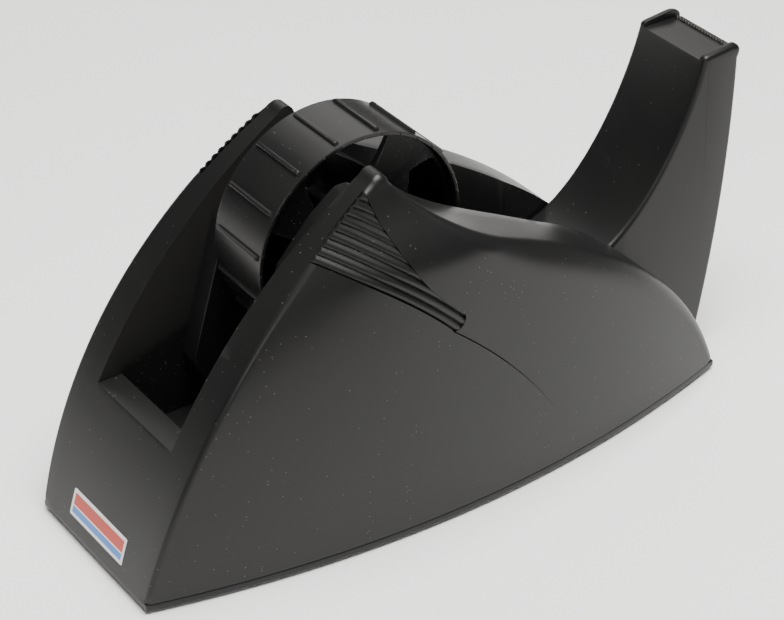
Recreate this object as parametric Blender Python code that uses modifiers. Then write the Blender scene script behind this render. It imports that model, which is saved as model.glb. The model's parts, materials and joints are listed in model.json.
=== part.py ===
"""Desk tape dispenser: weighted housing, cutter arm and a lift-out core drum.

Metres, +Z up. The origin is the middle of the footprint on the desk. +X runs
towards the cutter arm, the label end faces -X, and Y = 0 is the mirror plane.
"""
import math

import bmesh
import bpy
from mathutils import Matrix, Vector

OBJECT_NAME = "tape_dispenser"

# Overall sizes
LENGTH = 0.2450             # label end to the back of the cutter head
WIDTH = 0.0976              # widest place of the housing
AXLE_HEIGHT = 0.0906        # drum centre above the desk
AXLE_SETBACK = 0.0942       # drum centre behind the label end
PEAK_RISE = 0.0340          # cheek peak above the drum centre
PEAK_SHIFT = 0.0036         # cheek peak in front of the drum centre
ARM_OVERHANG = 0.0158       # cutter head behind the foot of the tail

# Housing
NOSE_HALF = 0.0324          # half width at the label end, on the desk
EDGE_HALF = 0.0351          # half width of the front edge, half way up
PEAK_HALF = 0.0296          # half width of the front edge, at the peak
EDGE_HEIGHT = 0.0596        # where the front edge stands widest
TAIL_HALF = 0.0325
WIDEST_SETBACK = 0.0200     # widest place behind the drum centre
DRAFT = 0.0020              # lean of the side walls
SHOULDER = 0.0170           # how far the walls turn in towards the peak
SHOULDER_DEPTH = 0.0290     # height of that turn
FRONT_RADIUS = 0.2000
PEAK_ROUND = 0.0014          # the crown starts this far below the peak
CROWN_BULGE = 0.0012
TAIL_HANDLES = (0.0439, 59.0, 0.0914, 66.5)   # length and slope at peak, at foot
WALL = 0.0026
WELL_HALF = 0.0222
WELL_FLOOR = 0.0266         # above the desk
WELL_SETBACK = 0.0800       # rear wall of the well, behind the drum centre
WELL_RAMP = ((0.0035, 0.0060), (0.0095, 0.0))   # front wall: behind the ledge, above the floor
LEDGE_HEIGHT = 0.0486       # top of the label end
LEDGE_DEPTH = 0.0086
WELL_TAPER = (0.0640, 0.0900)   # stretch behind the drum where the well narrows

# Cutter arm
ARM_HALF = 0.0175
ARM_WALL = 0.0024
ARM_HANDLES = (0.0270, 75.6, 0.0222, 6.7)
ARM_LIP = (0.0858, 0.0387)      # lower end of the front sheet, behind and below the axle
ARM_FOOT_SETBACK = 0.0720
ARM_BACK_RADIUS = 0.5250
PLATFORM_RISE = 0.0232      # above the drum centre
HEAD_DEPTH = 0.0166         # front sheet's top edge to the back of the head
PLATFORM_SETBACK = 0.0034   # back of the platform to the back of the head
BACK_SETBACK = 0.0014       # crest of the bowed back in front of the ears' back
BACK_CREST = 0.0049         # that crest, below the platform
EAR_RISE = 0.0028
EAR_LINE = ((0.0, 0.0040), (0.0008, 0.0018), (0.0026, 0.0004), (0.0050, 0.0),
            (0.0116, 0.0002), (0.0146, 0.0006), (0.0162, 0.0016))   # from the ears' top rear corner
LIP_LINE = ((0.0040, 0.0008), (0.0070, 0.0032), (0.0092, 0.0083))   # in front of and below the lip
FOOT_RISE = 0.0020          # where the arm leaves the well's floor
EAR_WIDTH = 0.0033
BLADE_THICKNESS = 0.0006
BLADE_HEIGHT = 0.0124
TOOTH_COUNT = 20
TOOTH_HEIGHT = 0.0012
CLAMP_THICKNESS = 0.0020

# Base
PAD_PROUD = 0.0010
PLATE_THICKNESS = 0.0028
PLATE_INSET = 0.0011
TONGUE_INSET = 0.0005        # the plate under the arm, inside its side walls
PAD_RADIUS = 0.0070
PAD_THICKNESS = 0.0020
PAD_INSETS = (0.0340, 0.0360)       # from the label end, from the tail
PAD_SIDE_INSET = 0.0080
BALLAST_HALF = 0.0320
BALLAST_CUT = 0.0060        # its corners
BALLAST_SPAN = (-0.0640, 0.0680)    # about the drum centre

# Drum and axle
DRUM_RADIUS = 0.0375
DRUM_WIDTH = 0.0258
RIM_WALL = 0.0013
WEB_THICKNESS = 0.0020
WEB_RECESS = 0.0040         # web behind the drum's near face
HUB_RADIUS = 0.0085
RIB_COUNT = 16
RIB_WIDTH = 0.0016
RIB_RISE = 0.0011
RIB_SINK = 0.0006           # into the rim
RIB_SHORT = 0.0010          # stops this far from the rim's edges
RIB_PHASE = math.radians(-12.0)
WINDOW_COUNT = 4
WINDOW_RADIUS = 0.0142
WINDOW_CENTRE = 0.0248
WINDOW_RIM = 0.0030         # ring left inside the rim
WINDOW_PHASE = math.radians(83.0)
AXLE_RADIUS = 0.0035
AXLE_END_GAP = 0.0008       # to the walls of the well
RUNNING_GAP = 0.00008
BRACKET_GAP = 0.0014        # drum face to bracket
BRACKET_FRONT = ((-0.0368, -0.0556), (-0.0442, -0.0467), (-0.0462, -0.0424),
                 (-0.0324, 0.0050), (-0.0205, 0.0180), (-0.0110, 0.0252))
BRACKET_BACK = ((0.0075, 0.0170), (0.0165, 0.0105), (0.0240, 0.0040),
                (0.0462, -0.0424), (0.0442, -0.0467), (0.0368, -0.0556))
BRACKET_FOOT_HALF = 0.0300
SLOT_MOUTH = ((0.0025, 0.0250), (0.0, 0.0215), (0.0, 0.0165), (0.0015, 0.0182))
CLIP_THICKNESS = 0.0008
CLIP_RADIUS = 0.0060
CLIP_GAP = 0.0001           # round the axle
AXLE_CHAMFER = 0.0005

# Fasteners and trim
SCREW_RADIUS = 0.0015
SCREW_LENGTH = 0.0120
HEAD_RADIUS = 0.0032
HEAD_HEIGHT = 0.0013
BOSS_RADIUS = 0.0040
BOSS_HEIGHT = 0.0200
BOSS_GAP = 0.0012           # boss to the inside of the outer wall
BOSS_OVERLAP = 0.0006       # the arm's bosses run into its side walls
BASE_SCREW_SETBACKS = (0.0160, 0.1142)      # the housing's pairs, behind the label end
ARM_SCREW_INSET = 0.0300    # the arm's pair, in front of the tail
HEAD_SUNK = 0.0001          # screw heads below the surface round them
CLAMP_SCREW_LENGTH = 0.0060
CLAMP_SCREW_INSET = 0.0055  # from the ears
CLAMP_SCREW_DROP = 0.0062   # below the platform
CLAMP_DROP = 0.0004         # top of the clamp below the platform
CLAMP_HEAD_RADIUS = 0.0024
CLAMP_HEAD_HEIGHT = 0.0009
GRIP_DEPTH = 0.0020         # recess in the wall
GRIP_THICKNESS = 0.0015
GRIP_TOP_RISE = 0.0296      # the grip's top and corner on the front edge, above the axle
GRIP_CORNER_RISE = 0.0140
GRIP_END_LOW = (0.0090, -0.0170)    # ends of the blunt tip, from the drum centre
GRIP_END_HIGH = (0.0132, -0.0118)
GRIP_FRONT_INSET = 0.0016   # from the cheek's front edge
GRIP_BULGES = (0.0018, -0.0018, 0.0046)     # lower side, blunt end, upper side
GROOVE_START = (-0.0140, -0.0006)   # a point on the lowest groove's lower neighbour
GROOVE_SLOPE = math.radians(36.9)
GROOVE_COUNT = 9
GROOVE_PITCH = 0.0027
GROOVE_WIDTH = 0.0010
GROOVE_DEPTH = 0.0008
GROOVE_LENGTH = 0.0800
LABEL_HALF = 0.0162
LABEL_HEIGHTS = (0.0084, 0.0172)    # above the desk
LABEL_DEPTH = 0.0005
LABEL_THICKNESS = 0.0003

GAP = 0.0003                # between pieces that touch

# Places that follow from the sizes
NOSE_X = -LENGTH / 2
HEAD_X = LENGTH / 2
AXLE_X = NOSE_X + AXLE_SETBACK
TAIL_X = HEAD_X - ARM_OVERHANG
PLATE_Z = PAD_PROUD
PLATE_TOP = PLATE_Z + PLATE_THICKNESS
RIM_Z = PLATE_TOP + GAP
PEAK = (AXLE_X - PEAK_SHIFT, AXLE_HEIGHT + PEAK_RISE)
TAIL = (TAIL_X, RIM_Z)
PLATFORM_Z = AXLE_HEIGHT + PLATFORM_RISE
PLATFORM_BACK = HEAD_X - PLATFORM_SETBACK
HEAD_Z = PLATFORM_Z + EAR_RISE
BRACKET_INNER = DRUM_WIDTH / 2 + BRACKET_GAP
AXLE_HALF = WELL_HALF - AXLE_END_GAP
POCKET_HALF = ARM_HALF + GAP
POCKET_X = AXLE_X + ARM_FOOT_SETBACK - GAP
FAR = 0.4                   # cutters run past the object
HULL_OVERRUN = 0.0040       # the boat shape starts and ends outside the side profile
HULL_PITCH = 0.0108         # between its cross-sections
HULL_LEVELS = (0.0, 0.15, 0.30, 0.45, 0.58, 0.68, 0.76, 0.82, 0.87, 0.91, 0.95, 1.0)


def fresh_scene():
    for obj in list(bpy.data.objects):
        bpy.data.objects.remove(obj, do_unlink=True)
    parts = bpy.data.collections.new(OBJECT_NAME)
    cutters = bpy.data.collections.new("cutters")
    bpy.context.scene.collection.children.link(parts)
    bpy.context.scene.collection.children.link(cutters)
    return parts, cutters


PARTS, CUTTERS = fresh_scene()


def make_material(name, colour, roughness, metallic=0.0):
    material = bpy.data.materials.new(name)
    material.use_nodes = True
    shader = material.node_tree.nodes["Principled BSDF"]
    shader.inputs["Base Color"].default_value = (*colour, 1.0)
    shader.inputs["Roughness"].default_value = roughness
    shader.inputs["Metallic"].default_value = metallic
    return material


HOUSING_BLACK = make_material("housing_black", (0.035, 0.035, 0.034), 0.48)
ARM_BLACK = make_material("arm_black", (0.034, 0.034, 0.033), 0.45)
DRUM_BLACK = make_material("drum_black", (0.030, 0.030, 0.030), 0.32)
GRIP_BLACK = make_material("grip_black", (0.040, 0.040, 0.039), 0.55)
BLADE_STEEL = make_material("blade_steel", (0.62, 0.61, 0.58), 0.28, 1.0)
AXLE_STEEL = make_material("axle_steel", (0.55, 0.55, 0.55), 0.30, 1.0)
SCREW_STEEL = make_material("screw_steel", (0.50, 0.50, 0.50), 0.35, 1.0)
BALLAST_IRON = make_material("ballast_iron", (0.16, 0.15, 0.14), 0.70, 0.6)
PAD_RUBBER = make_material("pad_rubber", (0.02, 0.02, 0.02), 0.85)
LABEL_FILM = make_material("label_film", (0.80, 0.14, 0.08), 0.40)


def keep(obj, material):
    """Put a finished part in the object's collection."""
    PARTS.objects.link(obj)
    obj.data.materials.clear()
    obj.data.materials.append(material)
    return obj


def tool(obj):
    """Put a cutter in the collection that is left out of the object."""
    CUTTERS.objects.link(obj)
    obj.hide_render = True
    obj.display_type = "WIRE"
    return obj


def combine(obj, other, operation="DIFFERENCE"):
    modifier = obj.modifiers.new(operation.lower(), "BOOLEAN")
    modifier.operation = operation
    modifier.object = other


def mesh_object(name, bm):
    bmesh.ops.recalc_face_normals(bm, faces=bm.faces)
    mesh = bpy.data.meshes.new(name)
    bm.to_mesh(mesh)
    bm.free()
    return bpy.data.objects.new(name, mesh)


def outline_plate(name, outline, low, high, axis="Y"):
    """A flat outline given thickness: (x, z) along Y, (x, y) along Z, (y, z) along X."""
    curve = bpy.data.curves.new(name, "CURVE")
    curve.dimensions = "2D"
    curve.fill_mode = "BOTH"
    curve.extrude = (high - low) / 2
    spline = curve.splines.new("POLY")
    spline.points.add(len(outline) - 1)
    for point, (u, v) in zip(spline.points, outline):
        point.co = (u, v, 0.0, 1.0)
    spline.use_cyclic_u = True
    flat = bpy.data.objects.new(name, curve)
    CUTTERS.objects.link(flat)
    bpy.context.view_layer.update()
    graph = bpy.context.evaluated_depsgraph_get()
    mesh = bpy.data.meshes.new_from_object(flat.evaluated_get(graph))
    bpy.data.objects.remove(flat, do_unlink=True)
    middle = (high + low) / 2
    turn = {
        "Y": Matrix(((1, 0, 0, 0), (0, 0, -1, middle), (0, 1, 0, 0), (0, 0, 0, 1))),
        "Z": Matrix.Translation((0, 0, middle)),
        "X": Matrix(((0, 0, 1, middle), (1, 0, 0, 0), (0, 1, 0, 0), (0, 0, 0, 1))),
    }[axis]
    bm = bmesh.new()
    bm.from_mesh(mesh)
    bpy.data.meshes.remove(mesh)
    bmesh.ops.remove_doubles(bm, verts=bm.verts, dist=0.000001)
    bmesh.ops.transform(bm, matrix=turn, verts=bm.verts)
    return mesh_object(name, bm)


def rod(name, radius, start, end, segments=24):
    """A cylinder from one point to another."""
    start, end = Vector(start), Vector(end)
    run = end - start
    bm = bmesh.new()
    bmesh.ops.create_cone(bm, cap_ends=True, segments=segments, radius1=radius,
                          radius2=radius, depth=run.length)
    turn = run.to_track_quat("Z", "Y").to_matrix().to_4x4()
    bmesh.ops.transform(bm, matrix=Matrix.Translation((start + end) / 2) @ turn, verts=bm.verts)
    return mesh_object(name, bm)


def turned(name, profile, steps, axis="Z"):
    """A closed (radius, height) profile turned about its axis."""
    bm = bmesh.new()
    verts = [bm.verts.new((radius, 0.0, height)) for radius, height in profile]
    for first, second in zip(verts, verts[1:] + verts[:1]):
        bm.edges.new((first, second))
    mesh = bpy.data.meshes.new(name)
    bm.to_mesh(mesh)
    bm.free()
    obj = bpy.data.objects.new(name, mesh)
    screw = obj.modifiers.new("turn", "SCREW")
    screw.steps = steps
    screw.render_steps = steps
    screw.use_merge_vertices = True
    screw.merge_threshold = 0.000001
    if axis == "Y":
        obj.rotation_euler = (math.radians(-90.0), 0.0, 0.0)
    if axis == "X":
        obj.rotation_euler = (0.0, math.radians(90.0), 0.0)
    return obj


def arc(centre, radius, start, end, count):
    """Points on an arc, from one angle to another in degrees."""
    points = []
    for i in range(count + 1):
        angle = math.radians(start + (end - start) * i / count)
        points.append((centre[0] + radius * math.cos(angle), centre[1] + radius * math.sin(angle)))
    return points


def bulged(first, last, sagitta, count):
    """Points from first to last on a shallow arc; a positive sagitta bulges to the left."""
    points = []
    span = (last[0] - first[0], last[1] - first[1])
    for i in range(count + 1):
        t = i / count
        rise = 4 * t * (1 - t) * sagitta / math.hypot(*span)
        points.append((first[0] + span[0] * t - span[1] * rise, first[1] + span[1] * t + span[0] * rise))
    return points


def bezier(p0, p1, p2, p3, count):
    points = []
    for i in range(count + 1):
        t = i / count
        a, b, c, d = (1 - t) ** 3, 3 * (1 - t) ** 2 * t, 3 * (1 - t) * t * t, t ** 3
        points.append((a * p0[0] + b * p1[0] + c * p2[0] + d * p3[0],
                       a * p0[1] + b * p1[1] + c * p2[1] + d * p3[1]))
    return points


def along(point, length, degrees):
    angle = math.radians(degrees)
    return (point[0] + length * math.cos(angle), point[1] + length * math.sin(angle))


def offset(points, distance):
    """Move an open line of points to its left by a distance."""
    moved = []
    for i, (x, y) in enumerate(points):
        before = points[max(i - 1, 0)]
        after = points[min(i + 1, len(points) - 1)]
        dx, dy = after[0] - before[0], after[1] - before[1]
        length = math.hypot(dx, dy)
        moved.append((x - dy / length * distance, y + dx / length * distance))
    return moved


def grown(points, distance):
    """Grow a closed outline, drawn clockwise or not, with mitred corners."""
    area = sum(a[0] * b[1] - b[0] * a[1] for a, b in zip(points, points[1:] + points[:1]))
    side = math.copysign(distance, area)
    corners = []
    for before, here, after in zip(points[-1:] + points[:-1], points, points[1:] + points[:1]):
        first = (Vector(here) - Vector(before)).normalized()
        second = (Vector(after) - Vector(here)).normalized()
        normals = Vector((first.y, -first.x)) + Vector((second.y, -second.x))
        mitre = side / max(1 + first.dot(second), 0.5)
        corners.append((here[0] + normals.x * mitre, here[1] + normals.y * mitre))
    return corners


def smooth_step(value):
    value = min(max(value, 0.0), 1.0)
    return value * value * (3 - 2 * value)


# Side profile of the housing

def front_centre():
    """Centre of the arc from the label end's foot to the peak."""
    low, high = Vector((NOSE_X, RIM_Z)), Vector(PEAK)
    middle, span = (low + high) / 2, high - low
    reach = math.sqrt(FRONT_RADIUS ** 2 - (span.length / 2) ** 2)
    return middle + Vector((span.y, -span.x)).normalized() * reach


FRONT_CENTRE = front_centre()


def front_x(z, inset=0.0):
    """Where the front edge stands at a height."""
    radius = FRONT_RADIUS - inset
    return FRONT_CENTRE.x - math.sqrt(max(radius ** 2 - (z - FRONT_CENTRE.y) ** 2, 0.0))


def front_line(low, high, inset, count):
    points = []
    for i in range(count + 1):
        z = low + (high - low) * i / count
        points.append((front_x(z, inset), z))
    return points


def tail_line(count):
    peak_handle, peak_slope, foot_handle, foot_slope = TAIL_HANDLES
    return bezier(PEAK, along(PEAK, peak_handle, -peak_slope),
                  along(TAIL, foot_handle, 180.0 - foot_slope), TAIL, count)


def side_profile(inset, floor):
    """Outline of the cheeks seen from the side, down to a floor height."""
    front = front_line(RIM_Z, PEAK[1] - PEAK_ROUND, inset, 18)
    tail = offset(tail_line(30), -inset)[1:]
    crown = bulged(front[-1], tail[0], CROWN_BULGE, 5)[1:-1]
    points = [(front[0][0], floor)] + front + crown + tail
    return points + [(tail[-1][0], floor)]


# Outer walls

def edge_half(z):
    """Half width of the front edge at a height."""
    if z < EDGE_HEIGHT:
        share = (EDGE_HEIGHT - z) / (EDGE_HEIGHT - RIM_Z)
        return EDGE_HALF - (EDGE_HALF - NOSE_HALF) * share ** 2
    share = (z - EDGE_HEIGHT) / (PEAK[1] - EDGE_HEIGHT)
    return EDGE_HALF - (EDGE_HALF - PEAK_HALF) * share ** 2


def widest_half(z):
    lean = DRAFT * ((z - RIM_Z) / PEAK[1]) ** 2
    turn = SHOULDER * smooth_step((z - PEAK[1] + SHOULDER_DEPTH) / SHOULDER_DEPTH)
    return WIDTH / 2 - lean - turn


def wall_half(x, z):
    """Half width of the housing at a place."""
    widest_x = AXLE_X + WIDEST_SETBACK
    widest = widest_half(z)
    if x < widest_x:
        share = (widest_x - x) / (widest_x - front_x(min(z, PEAK[1])))
        bow = share ** 2 if share < 1 else 2 * share - 1
        return max(widest - (widest - edge_half(z)) * bow, PEAK_HALF / 2)
    share = (x - widest_x) / (TAIL_X - widest_x)
    return widest - (WIDTH / 2 - TAIL_HALF) * share ** 2


def hull(name, inset, low, high):
    """The boat-shaped body between two heights, inset from the outer wall."""
    levels = [low + (high - low) * share for share in HULL_LEVELS]
    start, span = NOSE_X - HULL_OVERRUN, TAIL_X - NOSE_X + 2 * HULL_OVERRUN
    count = round(span / HULL_PITCH)
    stations = [start + span * i / count for i in range(count + 1)]
    bm = bmesh.new()
    rings = []
    for z in levels:
        near = [(x, -wall_half(x, max(z, RIM_Z)) + inset) for x in stations]
        far = [(x, -y) for x, y in reversed(near)]
        rings.append([bm.verts.new((x, y, z)) for x, y in near + far])
    for lower, upper in zip(rings, rings[1:]):
        for i in range(len(lower)):
            j = (i + 1) % len(lower)
            if i < len(stations):
                halves = (lower[i], lower[j], upper[j]), (lower[i], upper[j], upper[i])
            else:
                halves = (lower[i], lower[j], upper[i]), (lower[j], upper[j], upper[i])
            for triangle in halves:
                bm.faces.new(triangle)
    bm.faces.new(rings[0])
    bm.faces.new(rings[-1])
    return mesh_object(name, bm)


def well_plan(grow):
    """The well seen from above, wide round the drum and narrow at the arm."""
    start, end = AXLE_X + WELL_TAPER[0], AXLE_X + WELL_TAPER[1]
    near = [(-FAR, -WELL_HALF - grow), (start, -WELL_HALF - grow),
            (end, -POCKET_HALF - grow), (FAR, -POCKET_HALF - grow)]
    return near + [(x, -y) for x, y in reversed(near)]


def well_side(grow):
    """The well seen from the side: ledge, front wall, floor, open above."""
    ledge_x = front_x(LEDGE_HEIGHT) + LEDGE_DEPTH
    end_x = AXLE_X + WELL_SETBACK + grow
    line = [(-FAR, LEDGE_HEIGHT), (ledge_x, LEDGE_HEIGHT)]
    line += [(ledge_x + back, WELL_FLOOR + rise) for back, rise in WELL_RAMP]
    line = offset(line, -grow) + [(end_x, WELL_FLOOR - grow)]
    return line + [(end_x, FAR), (-FAR, FAR)]


def well_block(name, grow):
    block = outline_plate(name, well_side(grow), -WELL_HALF - grow, WELL_HALF + grow)
    plan = tool(outline_plate(name + "_plan", well_plan(grow), -FAR, FAR, "Z"))
    combine(block, plan, "INTERSECT")
    return tool(block)


def pocket_block(name, grow):
    """The slot that the cutter arm stands in."""
    low, high = POCKET_X - grow, FAR
    outline = [(low, -FAR), (high, -FAR), (high, FAR), (low, FAR)]
    return tool(outline_plate(name, outline, -POCKET_HALF - grow, POCKET_HALF + grow))


def screw_places():
    """Base screws: two pairs in the housing and one pair in the arm."""
    places = []
    for x in (NOSE_X + setback for setback in BASE_SCREW_SETBACKS):
        y = wall_half(x, RIM_Z) - BOSS_RADIUS - BOSS_GAP
        places += [(x, -y), (x, y)]
    arm_y = ARM_HALF - ARM_WALL - BOSS_RADIUS + BOSS_OVERLAP
    arm_x = TAIL_X - ARM_SCREW_INSET
    return places + [(arm_x, -arm_y), (arm_x, arm_y)]


def add_boss(obj, name, place):
    x, y = place
    boss = tool(rod(name, BOSS_RADIUS, (x, y, RIM_Z), (x, y, RIM_Z + BOSS_HEIGHT)))
    combine(obj, boss, "UNION")
    hole = rod(name + "_hole", SCREW_RADIUS + GAP, (x, y, -0.01), (x, y, RIM_Z + SCREW_LENGTH), 16)
    combine(obj, tool(hole))


def grip_outline(grow):
    """The curved triangle of the finger grip, seen from the side."""
    top, corner = AXLE_HEIGHT + GRIP_TOP_RISE, AXLE_HEIGHT + GRIP_CORNER_RISE
    left = front_line(top, corner, GRIP_FRONT_INSET, 6)
    end_low = (AXLE_X + GRIP_END_LOW[0], AXLE_HEIGHT + GRIP_END_LOW[1])
    end_high = (AXLE_X + GRIP_END_HIGH[0], AXLE_HEIGHT + GRIP_END_HIGH[1])
    bottom = bulged(left[-1], end_low, GRIP_BULGES[0], 8)
    tip = bulged(end_low, end_high, GRIP_BULGES[1], 4)
    right = bulged(end_high, left[0], GRIP_BULGES[2], 9)
    return grown(left + bottom[1:] + tip[1:] + right[1:-1], grow)


def grip_layer(name, outline, outer, inner):
    """The part of an outline's prism that lies between two depths in the left wall."""
    layer = outline_plate(name, outline, WELL_HALF + 0.001, FAR)
    if outer is not None:
        combine(layer, tool(hull(name + "_skin", outer, 0.040, PEAK[1] + 0.004)), "INTERSECT")
    combine(layer, tool(hull(name + "_core", inner, 0.036, PEAK[1] + 0.008)))
    return layer


def mirrored(name, obj):
    """The same solid on the other side of the mirror plane."""
    bpy.context.view_layer.update()
    bm = bmesh.new()
    bm.from_object(obj, bpy.context.evaluated_depsgraph_get())
    bmesh.ops.transform(bm, matrix=Matrix.Scale(-1.0, 4, (0, 1, 0)), verts=bm.verts)
    return mesh_object(name, bm)


def housing_shell():
    shell = hull("housing_shell", 0.0, RIM_Z, PEAK[1] + 0.003)
    combine(shell, tool(outline_plate("profile", side_profile(0.0, RIM_Z - 0.001), -FAR, FAR)),
            "INTERSECT")
    cavity = tool(hull("cavity", WALL, RIM_Z - 0.002, PEAK[1] + 0.001))
    combine(cavity, tool(outline_plate("cavity_profile", side_profile(WALL, RIM_Z - 0.004),
                                       -FAR, FAR)), "INTERSECT")
    combine(cavity, well_block("well_walls", WALL))
    combine(cavity, pocket_block("pocket_walls", WALL))
    combine(shell, cavity)
    for number, place in enumerate(screw_places()[:4], 1):
        add_boss(shell, f"housing_boss_{number}", place)
    combine(shell, well_block("well", 0.0))
    combine(shell, pocket_block("pocket", 0.0))
    recess = tool(grip_layer("grip_recess_left", grip_outline(GAP), None, GRIP_DEPTH))
    combine(shell, recess)
    combine(shell, tool(mirrored("grip_recess_right", recess)))
    combine(shell, tool(label_strip("label_recess", LABEL_HALF + GAP, GAP, LABEL_DEPTH, -0.002)))
    return keep(shell, HOUSING_BLACK)


def grip_grooves():
    """Slots that run across the grip on the left, one above the other."""
    bm = bmesh.new()
    lean = Vector((math.sin(GROOVE_SLOPE), 0.0, math.cos(GROOVE_SLOPE)))
    start = Vector((AXLE_X + GROOVE_START[0], WIDTH / 2, AXLE_HEIGHT + GROOVE_START[1]))
    size = Matrix.Diagonal((GROOVE_LENGTH, WIDTH / 2, GROOVE_WIDTH, 1))
    for i in range(1, GROOVE_COUNT + 1):
        box = bmesh.ops.create_cube(bm, size=1.0)["verts"]
        place = Matrix.Translation(start + lean * i * GROOVE_PITCH) @ Matrix.Rotation(GROOVE_SLOPE, 4, "Y")
        bmesh.ops.transform(bm, verts=box, matrix=place @ size)
    grooves = tool(mesh_object("grip_grooves", bm))
    depth = GRIP_DEPTH - GAP - GRIP_THICKNESS + GROOVE_DEPTH
    combine(grooves, tool(hull("groove_floor", depth, 0.030, PEAK[1] + 0.012)))
    return grooves


def grip_inserts():
    """The left insert is cut out of its layer and the right one is its mirror image."""
    outer = GRIP_DEPTH - GAP - GRIP_THICKNESS
    left = grip_layer("grip_insert_left", grip_outline(0.0), outer, GRIP_DEPTH - GAP)
    combine(left, grip_grooves())
    keep(left, GRIP_BLACK)
    keep(mirrored("grip_insert_right", left), GRIP_BLACK)


def label_strip(name, half, grow, inner, outer):
    """A curved strip on the front face between two depths."""
    low, high = LABEL_HEIGHTS[0] - grow, LABEL_HEIGHTS[1] + grow
    outside = front_line(low, high, outer, 5)
    inside = front_line(high, low, inner, 5)
    return outline_plate(name, outside + inside, -half, half)


def label_sticker():
    depth = LABEL_DEPTH - GAP
    return keep(label_strip("label_sticker", LABEL_HALF, 0.0, depth, depth - LABEL_THICKNESS),
                LABEL_FILM)


# Cutter arm

def arm_front(count):
    """The concave front sheet, from the platform down to the lip over the well."""
    top = (HEAD_X - HEAD_DEPTH, PLATFORM_Z)
    lip = (AXLE_X + ARM_LIP[0], AXLE_HEIGHT - ARM_LIP[1])
    top_handle, top_slope, lip_handle, lip_slope = ARM_HANDLES
    return bezier(top, along(top, top_handle, 180.0 + top_slope),
                  along(lip, lip_handle, lip_slope), lip, count)


def arm_back(low, high, inset, count):
    """The slightly bowed back of the arm."""
    centre_x = HEAD_X - BACK_SETBACK - ARM_BACK_RADIUS
    centre_z = PLATFORM_Z - BACK_CREST
    points = []
    for i in range(count + 1):
        z = low + (high - low) * i / count
        reach = math.sqrt((ARM_BACK_RADIUS - inset) ** 2 - (z - centre_z) ** 2)
        points.append((centre_x + reach, z))
    return points


def arm_outline():
    back = arm_back(RIM_Z, PLATFORM_Z - 0.0030, 0.0, 10)
    ear = [(HEAD_X - x, HEAD_Z - z) for x, z in EAR_LINE]
    front = arm_front(16)
    foot_x = AXLE_X + ARM_FOOT_SETBACK
    lip_x, lip_z = front[-1]
    lip = [(lip_x - x, lip_z - z) for x, z in LIP_LINE]
    return back + ear + front + lip + [(foot_x, WELL_FLOOR + FOOT_RISE), (foot_x, RIM_Z)]


def arm_hollow():
    front = offset(arm_front(16), ARM_WALL)[3:]
    foot_x = AXLE_X + ARM_FOOT_SETBACK + ARM_WALL
    lip_x, lip_z = front[-1]
    lip = [(lip_x - 0.0030, lip_z - 0.0022), (lip_x - 0.0055, lip_z - 0.0078),
           (foot_x, WELL_FLOOR + FOOT_RISE), (foot_x, RIM_Z - 0.005)]
    back = arm_back(RIM_Z - 0.005, PLATFORM_Z - 0.0160, ARM_WALL, 8)
    top = [(back[-1][0] - 0.0062, back[-1][1]), (back[-1][0] - 0.0062, PLATFORM_Z - 0.0060),
           (front[0][0] + 0.0012, PLATFORM_Z - 0.0060)]
    return back + top + front + lip


def clamp_screw_places():
    y = ARM_HALF - EAR_WIDTH - CLAMP_SCREW_INSET
    z = PLATFORM_Z - CLAMP_SCREW_DROP
    return [(-y, z), (y, z)]


BLADE_X = PLATFORM_BACK + GAP
CLAMP_X = BLADE_X + BLADE_THICKNESS + GAP
HEAD_HALF = ARM_HALF - EAR_WIDTH


def cutter_arm():
    arm = outline_plate("cutter_arm", arm_outline(), -ARM_HALF, ARM_HALF)
    bevel = arm.modifiers.new("edge", "BEVEL")
    bevel.width = 0.0008
    bevel.segments = 2
    bevel.limit_method = "ANGLE"
    bevel.angle_limit = math.radians(60.0)
    inner = ARM_HALF - ARM_WALL
    combine(arm, tool(outline_plate("arm_hollow", arm_hollow(), -inner, inner)))
    blade_floor = PLATFORM_Z - BLADE_HEIGHT + TOOTH_HEIGHT - GAP
    head = [(0.0, PLATFORM_Z), (PLATFORM_BACK, PLATFORM_Z), (PLATFORM_BACK, blade_floor),
            (FAR, blade_floor), (FAR, FAR), (0.0, FAR)]
    combine(arm, tool(outline_plate("head_cut", head, -HEAD_HALF, HEAD_HALF)))
    for number, place in enumerate(screw_places()[4:], 1):
        add_boss(arm, f"arm_boss_{number}", place)
    for number, (y, z) in enumerate(clamp_screw_places(), 1):
        start = CLAMP_X - CLAMP_SCREW_LENGTH
        hole = rod(f"clamp_hole_{number}", SCREW_RADIUS + GAP, (start, y, z), (HEAD_X, y, z), 16)
        combine(arm, tool(hole))
    return keep(arm, ARM_BLACK)


def cutter_blade():
    half = HEAD_HALF - GAP
    low = PLATFORM_Z - BLADE_HEIGHT + TOOTH_HEIGHT
    outline = [(-half, low), (half, low), (half, PLATFORM_Z)]
    pitch = 2 * half / TOOTH_COUNT
    for i in range(TOOTH_COUNT):
        outline.append((half - pitch * (i + 0.5), PLATFORM_Z + TOOTH_HEIGHT))
        outline.append((half - pitch * (i + 1), PLATFORM_Z))
    blade = outline_plate("cutter_blade", outline, BLADE_X, BLADE_X + BLADE_THICKNESS, "X")
    for number, (y, z) in enumerate(clamp_screw_places(), 1):
        hole = rod(f"blade_hole_{number}", SCREW_RADIUS + GAP, (0, y, z), (HEAD_X, y, z), 16)
        combine(blade, tool(hole))
    return keep(blade, BLADE_STEEL)


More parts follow.
